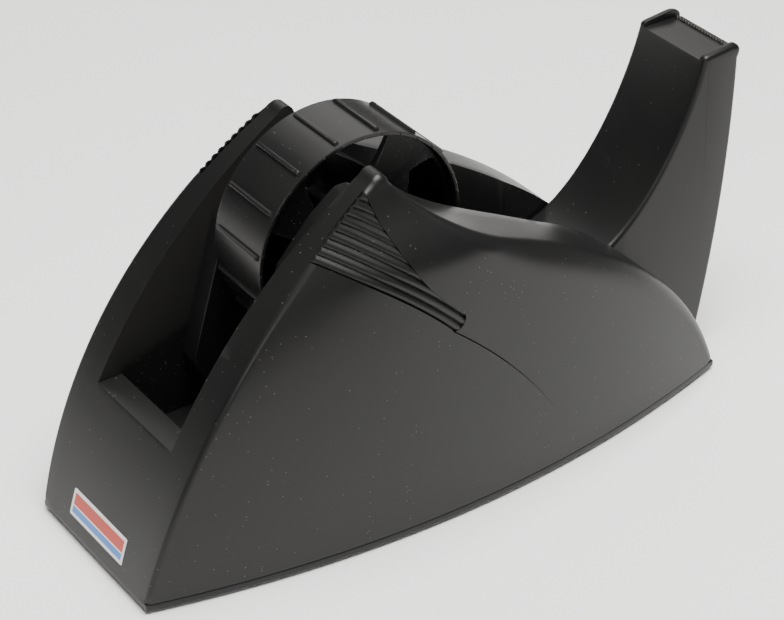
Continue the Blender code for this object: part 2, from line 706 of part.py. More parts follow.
def blade_clamp():
    half = HEAD_HALF - GAP
    low, high = PLATFORM_Z - BLADE_HEIGHT + TOOTH_HEIGHT, PLATFORM_Z - CLAMP_DROP
    outline = [(-half, low), (half, low), (half, high), (-half, high)]
    clamp = outline_plate("blade_clamp", outline, CLAMP_X, CLAMP_X + CLAMP_THICKNESS, "X")
    outer = CLAMP_X + CLAMP_THICKNESS
    for number, (y, z) in enumerate(clamp_screw_places(), 1):
        hole = rod(f"clamp_bore_{number}", SCREW_RADIUS + GAP, (0, y, z), (FAR, y, z), 16)
        seat = rod(f"clamp_seat_{number}", CLAMP_HEAD_RADIUS + GAP,
                   (outer - CLAMP_HEAD_HEIGHT - GAP, y, z), (FAR, y, z), 24)
        combine(clamp, tool(hole))
        combine(clamp, tool(seat))
    return keep(clamp, ARM_BLACK)


def screw_profile(head_radius, head_height, length):
    """Head at the bottom, shank upwards, as (radius, height) from the head's outer face."""
    return [(0.0, length), (SCREW_RADIUS * 0.6, length), (SCREW_RADIUS, length - 0.0010),
            (SCREW_RADIUS, head_height), (head_radius, head_height), (head_radius, 0.0003),
            (head_radius - 0.0004, 0.0), (0.0, 0.0)]


def clamp_screw(number, place):
    profile = screw_profile(CLAMP_HEAD_RADIUS, CLAMP_HEAD_HEIGHT, CLAMP_SCREW_LENGTH)
    screw = turned(f"clamp_screw_{number}", profile, 20, "X")
    screw.rotation_euler = (0.0, math.radians(-90.0), 0.0)
    screw.location = (CLAMP_X + CLAMP_THICKNESS, place[0], place[1])
    return keep(screw, SCREW_STEEL)


def base_screw(number, place):
    screw = turned(f"base_screw_{number}", screw_profile(HEAD_RADIUS, HEAD_HEIGHT, SCREW_LENGTH), 24)
    screw.location = (place[0], place[1], PLATE_Z + HEAD_SUNK)
    return keep(screw, SCREW_STEEL)


# Base

def pad_places():
    places = []
    for x in (NOSE_X + PAD_INSETS[0], TAIL_X - PAD_INSETS[1]):
        y = wall_half(x, RIM_Z) - PAD_RADIUS - PAD_SIDE_INSET
        places += [(x, -y), (x, y)]
    return places


def base_outline():
    """Footprint inside the housing's rim, with a tongue under the cutter arm."""
    low, high = front_x(RIM_Z) + PLATE_INSET, TAIL_X - PLATE_INSET
    near = []
    for i in range(21):
        x = low + (high - low) * i / 20
        near.append((x, -wall_half(x, RIM_Z) + PLATE_INSET))
    tongue_half = ARM_HALF - TONGUE_INSET
    tongue_x = arm_back(RIM_Z, RIM_Z + 0.01, 0.0, 1)[0][0] - PLATE_INSET
    near += [(high, -tongue_half), (tongue_x, -tongue_half)]
    return near + [(x, -y) for x, y in reversed(near)]


def base_plate():
    plate = outline_plate("base_plate", base_outline(), PLATE_Z, PLATE_TOP, "Z")
    bevel = plate.modifiers.new("edge", "BEVEL")
    bevel.width = 0.0006
    bevel.segments = 1
    bevel.limit_method = "ANGLE"
    bevel.angle_limit = math.radians(60.0)
    for number, (x, y) in enumerate(screw_places(), 1):
        hole = rod(f"plate_hole_{number}", SCREW_RADIUS + GAP, (x, y, -0.01), (x, y, 0.01), 16)
        seat = rod(f"plate_seat_{number}", HEAD_RADIUS + GAP, (x, y, -0.01),
                   (x, y, PLATE_Z + HEAD_SUNK + HEAD_HEIGHT + GAP), 24)
        combine(plate, tool(hole))
        combine(plate, tool(seat))
    for number, (x, y) in enumerate(pad_places(), 1):
        seat = rod(f"pad_seat_{number}", PAD_RADIUS + GAP, (x, y, -0.01),
                   (x, y, PAD_THICKNESS + GAP), 32)
        combine(plate, tool(seat))
    return keep(plate, HOUSING_BLACK)


def foot_pad(number, place):
    x, y = place
    pad = rod(f"foot_pad_{number}", PAD_RADIUS, (x, y, 0.0), (x, y, PAD_THICKNESS), 32)
    bevel = pad.modifiers.new("edge", "BEVEL")
    bevel.width = 0.0004
    bevel.segments = 1
    bevel.limit_method = "ANGLE"
    return keep(pad, PAD_RUBBER)


def ballast(name, start, end):
    """A cast weight under the floor of the well."""
    low, high = PLATE_TOP + GAP, WELL_FLOOR - WALL - GAP
    cut = BALLAST_CUT
    outline = []
    for x, y in ((start, -BALLAST_HALF), (end, -BALLAST_HALF), (end, BALLAST_HALF), (start, BALLAST_HALF)):
        sx = 1 if x == start else -1
        sy = 1 if y < 0 else -1
        corner = [(x, y + sy * cut), (x + sx * cut, y)]
        outline += corner if sx * sy > 0 else corner[::-1]
    block = outline_plate(name, outline, low, high, "Z")
    bevel = block.modifiers.new("edge", "BEVEL")
    bevel.width = 0.0010
    bevel.segments = 1
    bevel.limit_method = "ANGLE"
    bevel.angle_limit = math.radians(60.0)
    return keep(block, BALLAST_IRON)


# Drum and axle

def bracket_outline():
    """Side view of an axle bracket, with the open slot that the axle drops into."""
    reach = AXLE_RADIUS + GAP
    (lead_out, lead_top), (lead_in, lead_low), (back_in, back_low), (back_out, back_top) = SLOT_MOUTH
    slot = [(-reach - lead_out, lead_top), (-reach - lead_in, lead_low)] + arc((0, 0), reach, 180, 360, 12)
    slot += [(reach + back_in, back_low), (reach + back_out, back_top)]
    floor = WELL_FLOOR + GAP - AXLE_HEIGHT
    base = [(BRACKET_FOOT_HALF, floor), (-BRACKET_FOOT_HALF, floor)]
    outline = list(BRACKET_FRONT) + slot + list(BRACKET_BACK) + base
    return [(AXLE_X + x, AXLE_HEIGHT + z) for x, z in outline]


def axle_bracket(name, side):
    span = sorted((side * BRACKET_INNER, side * (WELL_HALF - GAP)))
    bracket = outline_plate(name, bracket_outline(), *span)
    return keep(bracket, HOUSING_BLACK)


def add_empty(name, parent=None):
    empty = bpy.data.objects.new(name, None)
    empty.empty_display_size = 0.01
    PARTS.objects.link(empty)
    if parent is None:
        empty.location = (AXLE_X, 0.0, AXLE_HEIGHT)
    empty.parent = parent
    return empty


def axle(parent):
    cut = AXLE_CHAMFER
    profile = [(0.0, AXLE_HALF), (AXLE_RADIUS - cut, AXLE_HALF), (AXLE_RADIUS, AXLE_HALF - cut),
               (AXLE_RADIUS, cut - AXLE_HALF), (AXLE_RADIUS - cut, -AXLE_HALF), (0.0, -AXLE_HALF)]
    pin = turned("axle", profile, 48, "Y")
    pin.parent = parent
    return keep(pin, AXLE_STEEL)


def axle_clip(name, side, parent):
    """A spring ring that keeps the axle in the drum when both are lifted out."""
    inner = DRUM_WIDTH / 2 + GAP
    low, high = sorted((side * inner, side * (inner + CLIP_THICKNESS)))
    bore = AXLE_RADIUS + CLIP_GAP
    profile = [(CLIP_RADIUS, high), (CLIP_RADIUS, low), (bore, low), (bore, high)]
    clip = turned(name, profile, 48, "Y")
    clip.parent = parent
    return keep(clip, AXLE_STEEL)


def core_drum(parent):
    half = DRUM_WIDTH / 2
    rim = DRUM_RADIUS - RIM_WALL
    web_low = -half + WEB_RECESS
    web_high = web_low + WEB_THICKNESS
    bore = AXLE_RADIUS + RUNNING_GAP
    profile = [(DRUM_RADIUS, half), (DRUM_RADIUS, -half), (rim, -half), (rim, web_low),
               (HUB_RADIUS, web_low), (HUB_RADIUS, -half), (bore, -half), (bore, half),
               (HUB_RADIUS, half), (HUB_RADIUS, web_high), (rim, web_high), (rim, half)]
    drum = turned("core_drum", profile, 64, "Y")
    drum.parent = parent
    ribs = bmesh.new()
    for i in range(RIB_COUNT):
        angle = RIB_PHASE + 2 * math.pi * i / RIB_COUNT
        box = bmesh.ops.create_cube(ribs, size=1.0)["verts"]
        depth = RIB_RISE + RIB_SINK
        middle = DRUM_RADIUS + RIB_RISE - depth / 2
        place = Matrix.Rotation(angle, 4, "Y") @ Matrix.Translation((0, 0, middle))
        size = Matrix.Diagonal((RIB_WIDTH, DRUM_WIDTH - 2 * RIB_SHORT, depth, 1))
        bmesh.ops.transform(ribs, verts=box, matrix=place @ size)
    rib_set = tool(mesh_object("drum_ribs", ribs))
    rib_set.parent = parent
    rib_set.matrix_local = Matrix()
    combine(drum, rib_set, "UNION")
    for i in range(WINDOW_COUNT):
        angle = WINDOW_PHASE + 2 * math.pi * i / WINDOW_COUNT
        centre = (math.sin(angle) * WINDOW_CENTRE, math.cos(angle) * WINDOW_CENTRE)
        limit = rim - WINDOW_RIM
        outline = []
        for x, z in arc(centre, WINDOW_RADIUS, 0, 345, 23):
            reach = math.hypot(x, z)
            shrink = min(1.0, limit / reach)
            outline.append((x * shrink, z * shrink))
        window = outline_plate(f"window_{i}", outline, web_low - 0.001, web_high + 0.001)
        tool(window)
        window.parent = parent
        window.matrix_local = Matrix()
        combine(drum, window)
    return keep(drum, DRUM_BLACK)


def shade():
    for obj in PARTS.objects:
        if obj.type == "MESH":
            obj.data.shade_smooth()
            obj.data.set_sharp_from_angle(angle=math.radians(35.0))


def build():
    housing_shell()
    grip_inserts()
    label_sticker()
    cutter_arm()
    cutter_blade()
    blade_clamp()
    for number, place in enumerate(clamp_screw_places(), 1):
        clamp_screw(number, place)
    base_plate()
    for number, place in enumerate(screw_places(), 1):
        base_screw(number, place)
    for number, place in enumerate(pad_places(), 1):
        foot_pad(number, place)
    start, end = (AXLE_X + x for x in BALLAST_SPAN)
    middle = (start + end) / 2
    ballast("ballast_front", start, middle - GAP)
    ballast("ballast_rear", middle + GAP, end)
    axle_bracket("axle_bracket_right", -1)
    axle_bracket("axle_bracket_left", 1)
    axle_set = add_empty("axle_set")
    axle(axle_set)
    axle_clip("axle_clip_right", -1, axle_set)
    axle_clip("axle_clip_left", 1, axle_set)
    core_drum(add_empty("drum_centre", axle_set))
    shade()


build()
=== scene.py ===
# Desk tape dispenser: finished surfaces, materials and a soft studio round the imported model.
import json
import math

import bpy
from mathutils import Matrix, Vector


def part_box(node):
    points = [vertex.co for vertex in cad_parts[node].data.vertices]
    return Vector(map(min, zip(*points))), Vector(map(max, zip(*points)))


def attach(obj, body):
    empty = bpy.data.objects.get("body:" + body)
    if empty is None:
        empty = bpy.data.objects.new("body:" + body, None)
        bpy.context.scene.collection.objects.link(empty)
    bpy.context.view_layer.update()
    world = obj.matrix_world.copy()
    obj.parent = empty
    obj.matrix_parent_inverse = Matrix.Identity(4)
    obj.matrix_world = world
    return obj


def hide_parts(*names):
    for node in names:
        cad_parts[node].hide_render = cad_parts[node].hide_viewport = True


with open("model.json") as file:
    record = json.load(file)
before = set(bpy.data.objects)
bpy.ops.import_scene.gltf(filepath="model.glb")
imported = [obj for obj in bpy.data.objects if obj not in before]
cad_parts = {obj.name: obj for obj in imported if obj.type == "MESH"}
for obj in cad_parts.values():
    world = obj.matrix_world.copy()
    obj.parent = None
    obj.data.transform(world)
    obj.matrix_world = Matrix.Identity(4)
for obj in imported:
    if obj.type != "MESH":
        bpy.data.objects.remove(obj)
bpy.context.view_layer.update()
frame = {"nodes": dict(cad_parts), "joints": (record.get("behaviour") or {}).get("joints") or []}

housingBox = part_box("housing_shell")
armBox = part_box("cutter_arm")
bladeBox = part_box("cutter_blade")
spin = next(joint for joint in frame["joints"] if joint["name"] == "drum_spin")
axlePoint = Vector(spin["pos_m"])
noseX = housingBox[0].x
tailX = housingBox[1].x
rimZ = housingBox[0].z
fitGap = 0.0003             # left between pieces that touch
far = 0.4                   # cutters run past the object
print("frame loaded", len(frame["nodes"]), "nodes")


def deselectAll():
    if bpy.context.object and bpy.context.object.mode != "OBJECT":
        bpy.ops.object.mode_set(mode="OBJECT")
    bpy.ops.object.select_all(action="DESELECT")


def useOnly(piece):
    deselectAll()
    piece.select_set(True)
    bpy.context.view_layer.objects.active = piece


def pick(piece, wanted, kind):
    # opens edit mode with only the wanted faces or edges selected
    useOnly(piece)
    bpy.ops.object.mode_set(mode="EDIT")
    bpy.ops.mesh.select_mode(type=kind)
    bpy.ops.mesh.select_all(action="DESELECT")
    bpy.ops.object.mode_set(mode="OBJECT")
    mesh = piece.data
    if kind == "FACE":
        for face in mesh.polygons:
            face.select = wanted(face.center, face.normal)
    else:
        for edge in mesh.edges:
            edge.select = wanted(*(mesh.vertices[i].co for i in edge.vertices))
    bpy.ops.object.mode_set(mode="EDIT")


def endEdit():
    bpy.ops.object.mode_set(mode="OBJECT")


def applyPlace(piece):
    useOnly(piece)
    bpy.ops.object.transform_apply(location=True, rotation=True, scale=True)


def addModifier(piece, kind, **settings):
    # adds a modifier and applies it at once
    useOnly(piece)
    modifier = piece.modifiers.new(kind.lower(), kind)
    for name, value in settings.items():
        setattr(modifier, name, value)
    bpy.ops.object.modifier_apply(modifier=modifier.name)


def cut(piece, cutter, operation="DIFFERENCE"):
    # the cutter is gone afterwards
    addModifier(piece, "BOOLEAN", object=cutter, operation=operation, solver="EXACT")
    bpy.data.objects.remove(cutter, do_unlink=True)


def faceOut(piece):
    # all faces of a closed piece point outwards, whichever way the operator chose
    useOnly(piece)
    bpy.ops.object.mode_set(mode="EDIT")
    bpy.ops.mesh.select_all(action="SELECT")
    bpy.ops.mesh.normals_make_consistent(inside=False)
    bpy.ops.object.mode_set(mode="OBJECT")
    volume = sum(face.center.dot(face.normal) * face.area for face in piece.data.polygons)
    if volume < 0:
        bpy.ops.object.mode_set(mode="EDIT")
        bpy.ops.mesh.flip_normals()
        bpy.ops.object.mode_set(mode="OBJECT")


def smooth(piece, degrees=32.0):
    useOnly(piece)
    bpy.ops.object.shade_smooth_by_angle(angle=math.radians(degrees))


def outlinePlate(name, outline, low, high, axis="Y"):
    # a filled outline given thickness: (x, z) along Y, (x, y) along Z or (y, z) along X
    bpy.ops.mesh.primitive_circle_add(vertices=len(outline), radius=1.0, fill_type="NGON")
    piece = bpy.context.object
    piece.name = name
    depth = high - low
    place, step = {
        "X": (lambda u, v: (low, u, v), (depth, 0, 0)),
        "Y": (lambda u, v: (u, low, v), (0, depth, 0)),
        "Z": (lambda u, v: (u, v, low), (0, 0, depth)),
    }[axis]
    for vertex, point in zip(piece.data.vertices, outline):
        vertex.co = place(*point)
    pick(piece, lambda centre, normal: True, "FACE")
    bpy.ops.mesh.extrude_region_move(TRANSFORM_OT_translate={"value": step})
    endEdit()
    faceOut(piece)
    return piece


def gridPiece(name, columns, rows, place):
    # a flat grid whose points are moved to place(column, row)
    bpy.ops.mesh.primitive_grid_add(x_subdivisions=columns, y_subdivisions=rows, size=1.0)
    piece = bpy.context.object
    piece.name = name
    for vertex in piece.data.vertices:
        column = round((vertex.co.x + 0.5) * columns)
        row = round((vertex.co.y + 0.5) * rows)
        vertex.co = place(column, row)
    return piece


def smoothStep(value):
    # 0 to 1 with a level start and end
    value = min(max(value, 0.0), 1.0)
    return value * value * value * (value * (6 * value - 15) + 10)


def mixed(first, second, share):
    return first + (second - first) * share


def along(point, length, degrees):
    # the place at a length and an angle from a point
    angle = math.radians(degrees)
    return (point[0] + length * math.cos(angle), point[1] + length * math.sin(angle))


def bezier(p0, p1, p2, p3, count):
    points = []
    for i in range(count + 1):
        t = i / count
        a, b, c, d = (1 - t) ** 3, 3 * (1 - t) ** 2 * t, 3 * (1 - t) * t * t, t ** 3
        points.append(tuple(a * q0 + b * q1 + c * q2 + d * q3 for q0, q1, q2, q3 in zip(p0, p1, p2, p3)))
    return points


def bulged(first, last, sagitta, count):
    # a shallow arc from first to last that bulges to the left
    span = (last[0] - first[0], last[1] - first[1])
    points = []
    for i in range(count + 1):
        t = i / count
        rise = 4 * t * (1 - t) * sagitta / math.hypot(*span)
        points.append((first[0] + span[0] * t - span[1] * rise, first[1] + span[1] * t + span[0] * rise))
    return points


def shifted(points, distance):
    # an open line moved to its left
    moved = []
    for i, (x, z) in enumerate(points):
        before, after = points[max(i - 1, 0)], points[min(i + 1, len(points) - 1)]
        dx, dz = after[0] - before[0], after[1] - before[1]
        length = math.hypot(dx, dz)
        moved.append((x - dz / length * distance, z + dx / length * distance))
    return moved


def evenly(points, count):
    # the same line with its points at even steps
    lengths = [0.0]
    for first, second in zip(points, points[1:]):
        lengths.append(lengths[-1] + math.dist(first, second))
    result, segment = [], 0
    for i in range(count + 1):
        wanted = lengths[-1] * i / count
        while segment < len(points) - 2 and lengths[segment + 1] < wanted:
            segment += 1
        share = (wanted - lengths[segment]) / (lengths[segment + 1] - lengths[segment])
        result.append(tuple(mixed(a, b, share) for a, b in zip(points[segment], points[segment + 1])))
    return result


def rounded(outline, radius, steps=3):
    # a closed outline with its corners cut by small curves
    result = []
    for before, here, after in zip(outline[-1:] + outline[:-1], outline, outline[1:] + outline[:1]):
        first, second = Vector(before) - Vector(here), Vector(after) - Vector(here)
        start = Vector(here) + first.normalized() * min(radius, first.length * 0.45)
        end = Vector(here) + second.normalized() * min(radius, second.length * 0.45)
        for i in range(steps + 1):
            t = i / steps
            point = start * (1 - t) ** 2 + Vector(here) * 2 * t * (1 - t) + end * t * t
            result.append((point.x, point.y))
    return result


def turnedPiece(name, profile, steps, centre):
    # a closed (radius, y) profile spun about the Y axis through a point
    bpy.ops.mesh.primitive_circle_add(vertices=len(profile), radius=1.0, fill_type="NOTHING")
    piece = bpy.context.object
    piece.name = name
    for vertex, (radius, y) in zip(piece.data.vertices, profile):
        vertex.co = (centre.x + radius, y, centre.z)
    useOnly(piece)
    bpy.ops.object.mode_set(mode="EDIT")
    bpy.ops.mesh.select_all(action="SELECT")
    bpy.ops.mesh.spin(steps=steps, angle=2 * math.pi, center=(centre.x, 0.0, centre.z), axis=(0, 1, 0))
    bpy.ops.mesh.select_all(action="SELECT")
    bpy.ops.mesh.remove_doubles(threshold=0.000002)
    endEdit()
    faceOut(piece)
    return piece


def copyTurned(piece, count, centre, phase=0.0):
    # the piece and its copies round the Y axis through a point, joined
    copies = []
    for i in range(count):
        twin = piece.copy()
        twin.data = piece.data.copy()
        bpy.context.scene.collection.objects.link(twin)
        turn = Matrix.Rotation(phase + 2 * math.pi * i / count, 4, "Y")
        twin.data.transform(Matrix.Translation(centre) @ turn)
        copies.append(twin)
    bpy.data.objects.remove(piece, do_unlink=True)
    deselectAll()
    for twin in copies:
        twin.select_set(True)
    bpy.context.view_layer.objects.active = copies[0]
    bpy.ops.object.join()
    return copies[0]


def show(piece, body, slot, *nodes):
    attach(piece, body)
    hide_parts(*nodes)


housing = {
    "frontRadius": 0.2000,
    "peakRise": 0.0340,         # above the axle
    "peakShift": 0.0036,        # in front of the axle
    "crownReach": 0.0046,       # the crown's rounding starts this far from the peak
    "crownHandle": 0.0016,
    "crownLift": 0.0003,
    "crownRounding": 0.0012,    # extra rounding of the edges at the crown
    "crownSpread": 0.0130,
    "tailHandles": (0.0439, 59.0, 0.0914, 66.5),
    "halfWidth": 0.0488,
    "noseHalf": 0.0324,
    "edgeHalf": 0.0351,
    "peakHalf": 0.0296,
    "edgeHeight": 0.0596,
    "tailHalf": 0.0325,
    "widestSetback": 0.0200,
    "draft": 0.0020,
    "shoulder": 0.0170,
    "shoulderDepth": 0.0290,
    "wall": 0.0026,
    "wellHalf": 0.0222,
    "wellFloor": 0.0266,
    "ledgeHeight": 0.0486,
    "ledgeDepth": 0.0086,
    "ledgeFace": ((0.0035, 0.0060), (0.0095, 0.0)),     # behind the ledge, above the well's floor
    "wellEnd": 0.0800,
    "wellTaper": (0.0600, 0.0798),      # behind the axle
    "pocketHalf": 0.0178,
    "pocketSetback": 0.0717,
    "edgeRounding": 0.0014,     # along the front edges
    "cavityRounding": 0.0004,
    "deckRounding": 0.0080,     # across, on the rear deck
    "deckDrop": 0.0088,         # down, on the rear deck
    "deckOpening": 0.38,        # share of the tail over which the rounding opens to the deck's
    "deckClosing": 0.80,        # share of the rounding that is gone again at the foot
    "footShift": (0.0003, -0.0030),     # of the wall's lower ends, at the label end and the tail
    "innerRounding": 0.0007,
    "lipRounding": 0.0016,
    "frontColumns": 84,
    "crownColumns": 12,
    "tailColumns": 96,
    "stripRows": 6,
    "roundRows": 12,
    "wallRows": 44,
}
peak = (axlePoint.x - housing["peakShift"], axlePoint.z + housing["peakRise"])


def frontCentre():
    low, high = Vector((noseX, rimZ)), Vector(peak)
    middle, span = (low + high) / 2, high - low
    reach = math.sqrt(housing["frontRadius"] ** 2 - (span.length / 2) ** 2)
    return middle + Vector((span.y, -span.x)).normalized() * reach


frontMiddle = frontCentre()


def frontX(z, inset=0.0):
    radius = housing["frontRadius"] - inset
    return frontMiddle.x - math.sqrt(max(radius ** 2 - (z - frontMiddle.y) ** 2, 0.0))


def frontLine(low, high, inset, count):
    heights = [mixed(low, high, i / count) for i in range(count + 1)]
    return [(frontX(z, inset), z) for z in heights]


def tailLine(count):
    peakHandle, peakSlope, footHandle, footSlope = housing["tailHandles"]
    foot = (tailX, rimZ)
    return bezier(peak, along(peak, peakHandle, -peakSlope), along(foot, footHandle, 180.0 - footSlope),
                  foot, count)


def sideLine():
    # the whole outline of a cheek, from the foot of the label end over the peak to the tail
    reach = housing["crownReach"]
    front = [p for p in frontLine(rimZ, peak[1], 0.0, 400) if math.dist(p, peak) > reach]
    tail = [p for p in tailLine(600) if math.dist(p, peak) > reach]
    top = (peak[0], peak[1] + housing["crownLift"])
    half = housing["crownHandle"]
    crown = bezier(front[-1], along(top, half, 180.0), along(top, half, 0.0), tail[0], 40)
    return (evenly(front, housing["frontColumns"])[:-1] + evenly(crown, housing["crownColumns"])
            + evenly(tail, housing["tailColumns"])[1:])


def edgeHalf(z):
    height = housing["edgeHeight"]
    if z < height:
        share = (height - z) / (height - rimZ)
        return housing["edgeHalf"] - (housing["edgeHalf"] - housing["noseHalf"]) * share ** 2
    share = (z - height) / (peak[1] - height)
    return housing["edgeHalf"] - (housing["edgeHalf"] - housing["peakHalf"]) * share ** 2


def widestHalf(z):
    lean = housing["draft"] * ((z - rimZ) / peak[1]) ** 2
    share = min(max((z - peak[1] + housing["shoulderDepth"]) / housing["shoulderDepth"], 0.0), 1.0)
    return housing["halfWidth"] - lean - housing["shoulder"] * share * share * (3 - 2 * share)


def wallHalf(x, z):
    # half width of the housing at a place on its side
    z = max(z, rimZ)
    widestX = axlePoint.x + housing["widestSetback"]
    widest = widestHalf(z)
    if x < widestX:
        share = (widestX - x) / (widestX - frontX(min(z, peak[1])))
        bow = share ** 2 if share < 1 else 2 * share - 1
        return max(widest - (widest - edgeHalf(z)) * bow, housing["peakHalf"] / 2)
    share = (x - widestX) / (tailX - widestX)
    return widest - (housing["halfWidth"] - housing["tailHalf"]) * share ** 2


def lineGap(line, x, z, near=0.004):
    # distance from a place to a line, looked for among the line's points that are near
    best = 1.0
    for (ax, az), (bx, bz) in zip(line, line[1:]):
        if abs(ax - x) > near or abs(az - z) > near:
            continue
        dx, dz = bx - ax, bz - az
        t = min(max(((x - ax) * dx + (z - az) * dz) / (dx * dx + dz * dz), 0.0), 1.0)
        best = min(best, math.hypot(x - ax - dx * t, z - az - dz * t))
    return best


def housingSkin(name, inset=0.0):
    # half of the full-width body as one grid: strip, rounded edge, side wall
    outer = sideLine()
    line = outer
    if inset:
        line = [p for p in shifted(outer, -inset) if lineGap(outer, *p) > 0.97 * inset]
    count = len(line) - 1
    inward = []
    for i in range(count + 1):      # directions into the cheek, square to its outline
        before, after = line[max(i - 3, 0)], line[min(i + 3, count)]
        dx, dz = after[0] - before[0], after[1] - before[1]
        length = math.hypot(dx, dz)
        inward.append((dz / length, -dx / length))
    crown = housing["frontColumns"] + housing["crownColumns"]
    stripRows, roundRows, wallRows = housing["stripRows"], housing["roundRows"], housing["wallRows"]
    noseShift, tailShift = housing["footShift"]

    def place(column, row):
        x, z = line[column]
        z = max(z, rimZ)
        past = (column - crown) / housing["tailColumns"]
        soften = smoothStep((column - crown) / (housing["deckOpening"] * housing["tailColumns"]))
        soften *= 1 - housing["deckClosing"] * smoothStep(past * 1.6 - 0.6)
        close = smoothStep(1 - math.dist((x, z), peak) / housing["crownSpread"])
        rounding = housing["edgeRounding"] + housing["crownRounding"] * close
        if inset:
            rounding = housing["cavityRounding"]
        down = mixed(rounding, housing["deckDrop"], soften)
        across = mixed(rounding, housing["deckRounding"], soften)
        nx, nz = inward[column]
        reach = min(1.0, (z - rimZ) / max(-nz * down, 0.000001))
        full = math.acos(1 - reach)         # the rounding is cut off level at the foot
        if row <= stripRows:
            edge = wallHalf(x, z) - inset - across
            return (x, -edge * row / stripRows, z)
        if row <= stripRows + roundRows:
            angle = (row - stripRows) / roundRows * full
            depth = down * (1 - math.cos(angle))
            px, pz = x + nx * depth, max(z + nz * depth, rimZ)
            return (px, -(wallHalf(px, pz) - inset - across * (1 - math.sin(angle))), pz)
        share = (row - stripRows - roundRows) / wallRows
        top = (x + nx * down * reach, max(z + nz * down * reach, rimZ))
        if reach < 1.0:
            return (top[0], -(wallHalf(*top) - inset - across * (1 - math.sin(full))), top[1])
        footX = mixed(line[0][0] + noseShift, line[-1][0] + tailShift, column / count)
        px, pz = mixed(top[0], footX, share), mixed(top[1], rimZ, share)
        return (px, -(wallHalf(px, pz) - inset), pz)

    skin = gridPiece(name, count, stripRows + roundRows + wallRows, place)
    addModifier(skin, "MIRROR", use_axis=(False, True, False), merge_threshold=0.00001)
    useOnly(skin)
    bpy.ops.object.mode_set(mode="EDIT")
    bpy.ops.mesh.select_all(action="SELECT")
    bpy.ops.mesh.remove_doubles(threshold=0.00001)
    bpy.ops.mesh.select_all(action="DESELECT")
    bpy.ops.mesh.select_mode(type="EDGE")
    bpy.ops.mesh.select_non_manifold(extend=False)
    bpy.ops.mesh.edge_face_add()
    bpy.ops.mesh.select_all(action="SELECT")
    bpy.ops.mesh.dissolve_degenerate(threshold=0.000001)
    endEdit()
    faceOut(skin)
    return skin


def wellSide(grow):
    ledgeX = frontX(housing["ledgeHeight"]) + housing["ledgeDepth"]
    floor = housing["wellFloor"]
    line = [(-far, housing["ledgeHeight"]), (ledgeX, housing["ledgeHeight"])]
    line += [(ledgeX + x, floor + z) for x, z in housing["ledgeFace"]]
    end = axlePoint.x + housing["wellEnd"] + grow
    return shifted(line, -grow) + [(end, floor - grow), (end, far), (-far, far)]


def wellPlan(grow):
    start, end = (axlePoint.x + x for x in housing["wellTaper"])
    half, narrow = housing["wellHalf"] + grow, housing["pocketHalf"] + grow
    blend = 0.4 * (end - start)
    bend = bezier((start - blend, -half), (start, -half), (start, -half),
                  (mixed(start, end, 0.4), mixed(-half, -narrow, 0.4)), 8)
    near = [(-far, -half)] + bend + [(end, -narrow), (far, -narrow)]
    return near + [(x, -y) for x, y in reversed(near)]


def wellBlock(grow):
    block = outlinePlate("well", wellSide(grow), -housing["halfWidth"], housing["halfWidth"])
    cut(block, outlinePlate("wellPlan", wellPlan(grow), -far, far, "Z"), "INTERSECT")
    return block


def pocketBlock(grow):
    low = axlePoint.x + housing["pocketSetback"] - grow
    half = housing["pocketHalf"] + grow
    return outlinePlate("pocket", [(low, -far), (far, -far), (far, far), (low, far)], -half, half)


def makeHousing():
    shell = housingSkin("housing_shell_visual")
    cavity = housingSkin("cavity", housing["wall"])
    cut(cavity, wellBlock(housing["wall"]))
    cut(cavity, pocketBlock(housing["wall"]))
    for vertex in cavity.data.vertices:
        if vertex.co.z < rimZ + 0.0001:
            vertex.co.z = rimZ - 0.002      # the shell is open below
    cut(shell, cavity)
    cut(shell, wellBlock(0.0))
    cut(shell, pocketBlock(0.0))
    line = sideLine()
    half = housing["wellHalf"]
    lipZ = housing["ledgeHeight"]

    def onRim(first, second):
        for point in (first, second):
            if point.z < lipZ - 0.0001 or lineGap(line, point.x, point.z) > 0.00008:
                return False
        inside = (housing["pocketHalf"] - 0.0001 < abs(first.y) < half + 0.0001
                  and housing["pocketHalf"] - 0.0001 < abs(second.y) < half + 0.0001)
        level = abs(abs(first.y) - abs(second.y)) < 0.0012 and math.dist(first.xz, second.xz) > 0.00001
        sideways = abs(abs(first.y) - half) < 0.00005 and abs(abs(second.y) - half) < 0.00005
        tapering = min(first.x, second.x) > axlePoint.x + housing["wellTaper"][0] - 0.0001
        return inside and level and (sideways or tapering)

    pick(shell, onRim, "EDGE")
    bpy.ops.mesh.bevel(offset=housing["innerRounding"], segments=3, affect="EDGES", clamp_overlap=True)
    endEdit()

    def onLip(first, second):
        return all(abs(p.z - lipZ) < 0.00005 and abs(p.x - frontX(lipZ)) < 0.0001 for p in (first, second))

    pick(shell, onLip, "EDGE")
    bpy.ops.mesh.bevel(offset=housing["lipRounding"], segments=4, affect="EDGES", clamp_overlap=True)
    endEdit()
    return shell


grip = {
    "cornerRise": 0.0141,       # where the lowest rib meets the front edge, above the axle
    "end": (0.0100, -0.0174),   # the lowest rib's other end, from the axle
    "bow": 0.0020,              # how far the ribs bow upwards
    "tip": (0.0136, -0.0122),
    "apex": (-0.0102, 0.0300),
    "sideBow": 0.0046,
    "noseReach": 0.0022,        # how far the rounded tip runs past its corners
    "noseDrop": 0.0016,
    "ribPitch": 0.0027,
    "ribRise": 0.0009,
    "ribFullness": 0.85,        # below 1 the ribs are fuller than a sine
    "sheetReach": (-0.0020, 0.0330),    # from the lowest rib's edge
    "sheetColumns": 46,
    "sheetRows": 156,
    "crest": 0.0001,            # ribs stay this far inside the wall
    "recess": 0.0020,
    "creaseEnd": (0.0640, -0.0850),
    "creaseWidth": 0.00045,
    "creaseDepth": 0.00042,
    "creaseBow": 0.0046,
    "creaseColumns": 60,
}


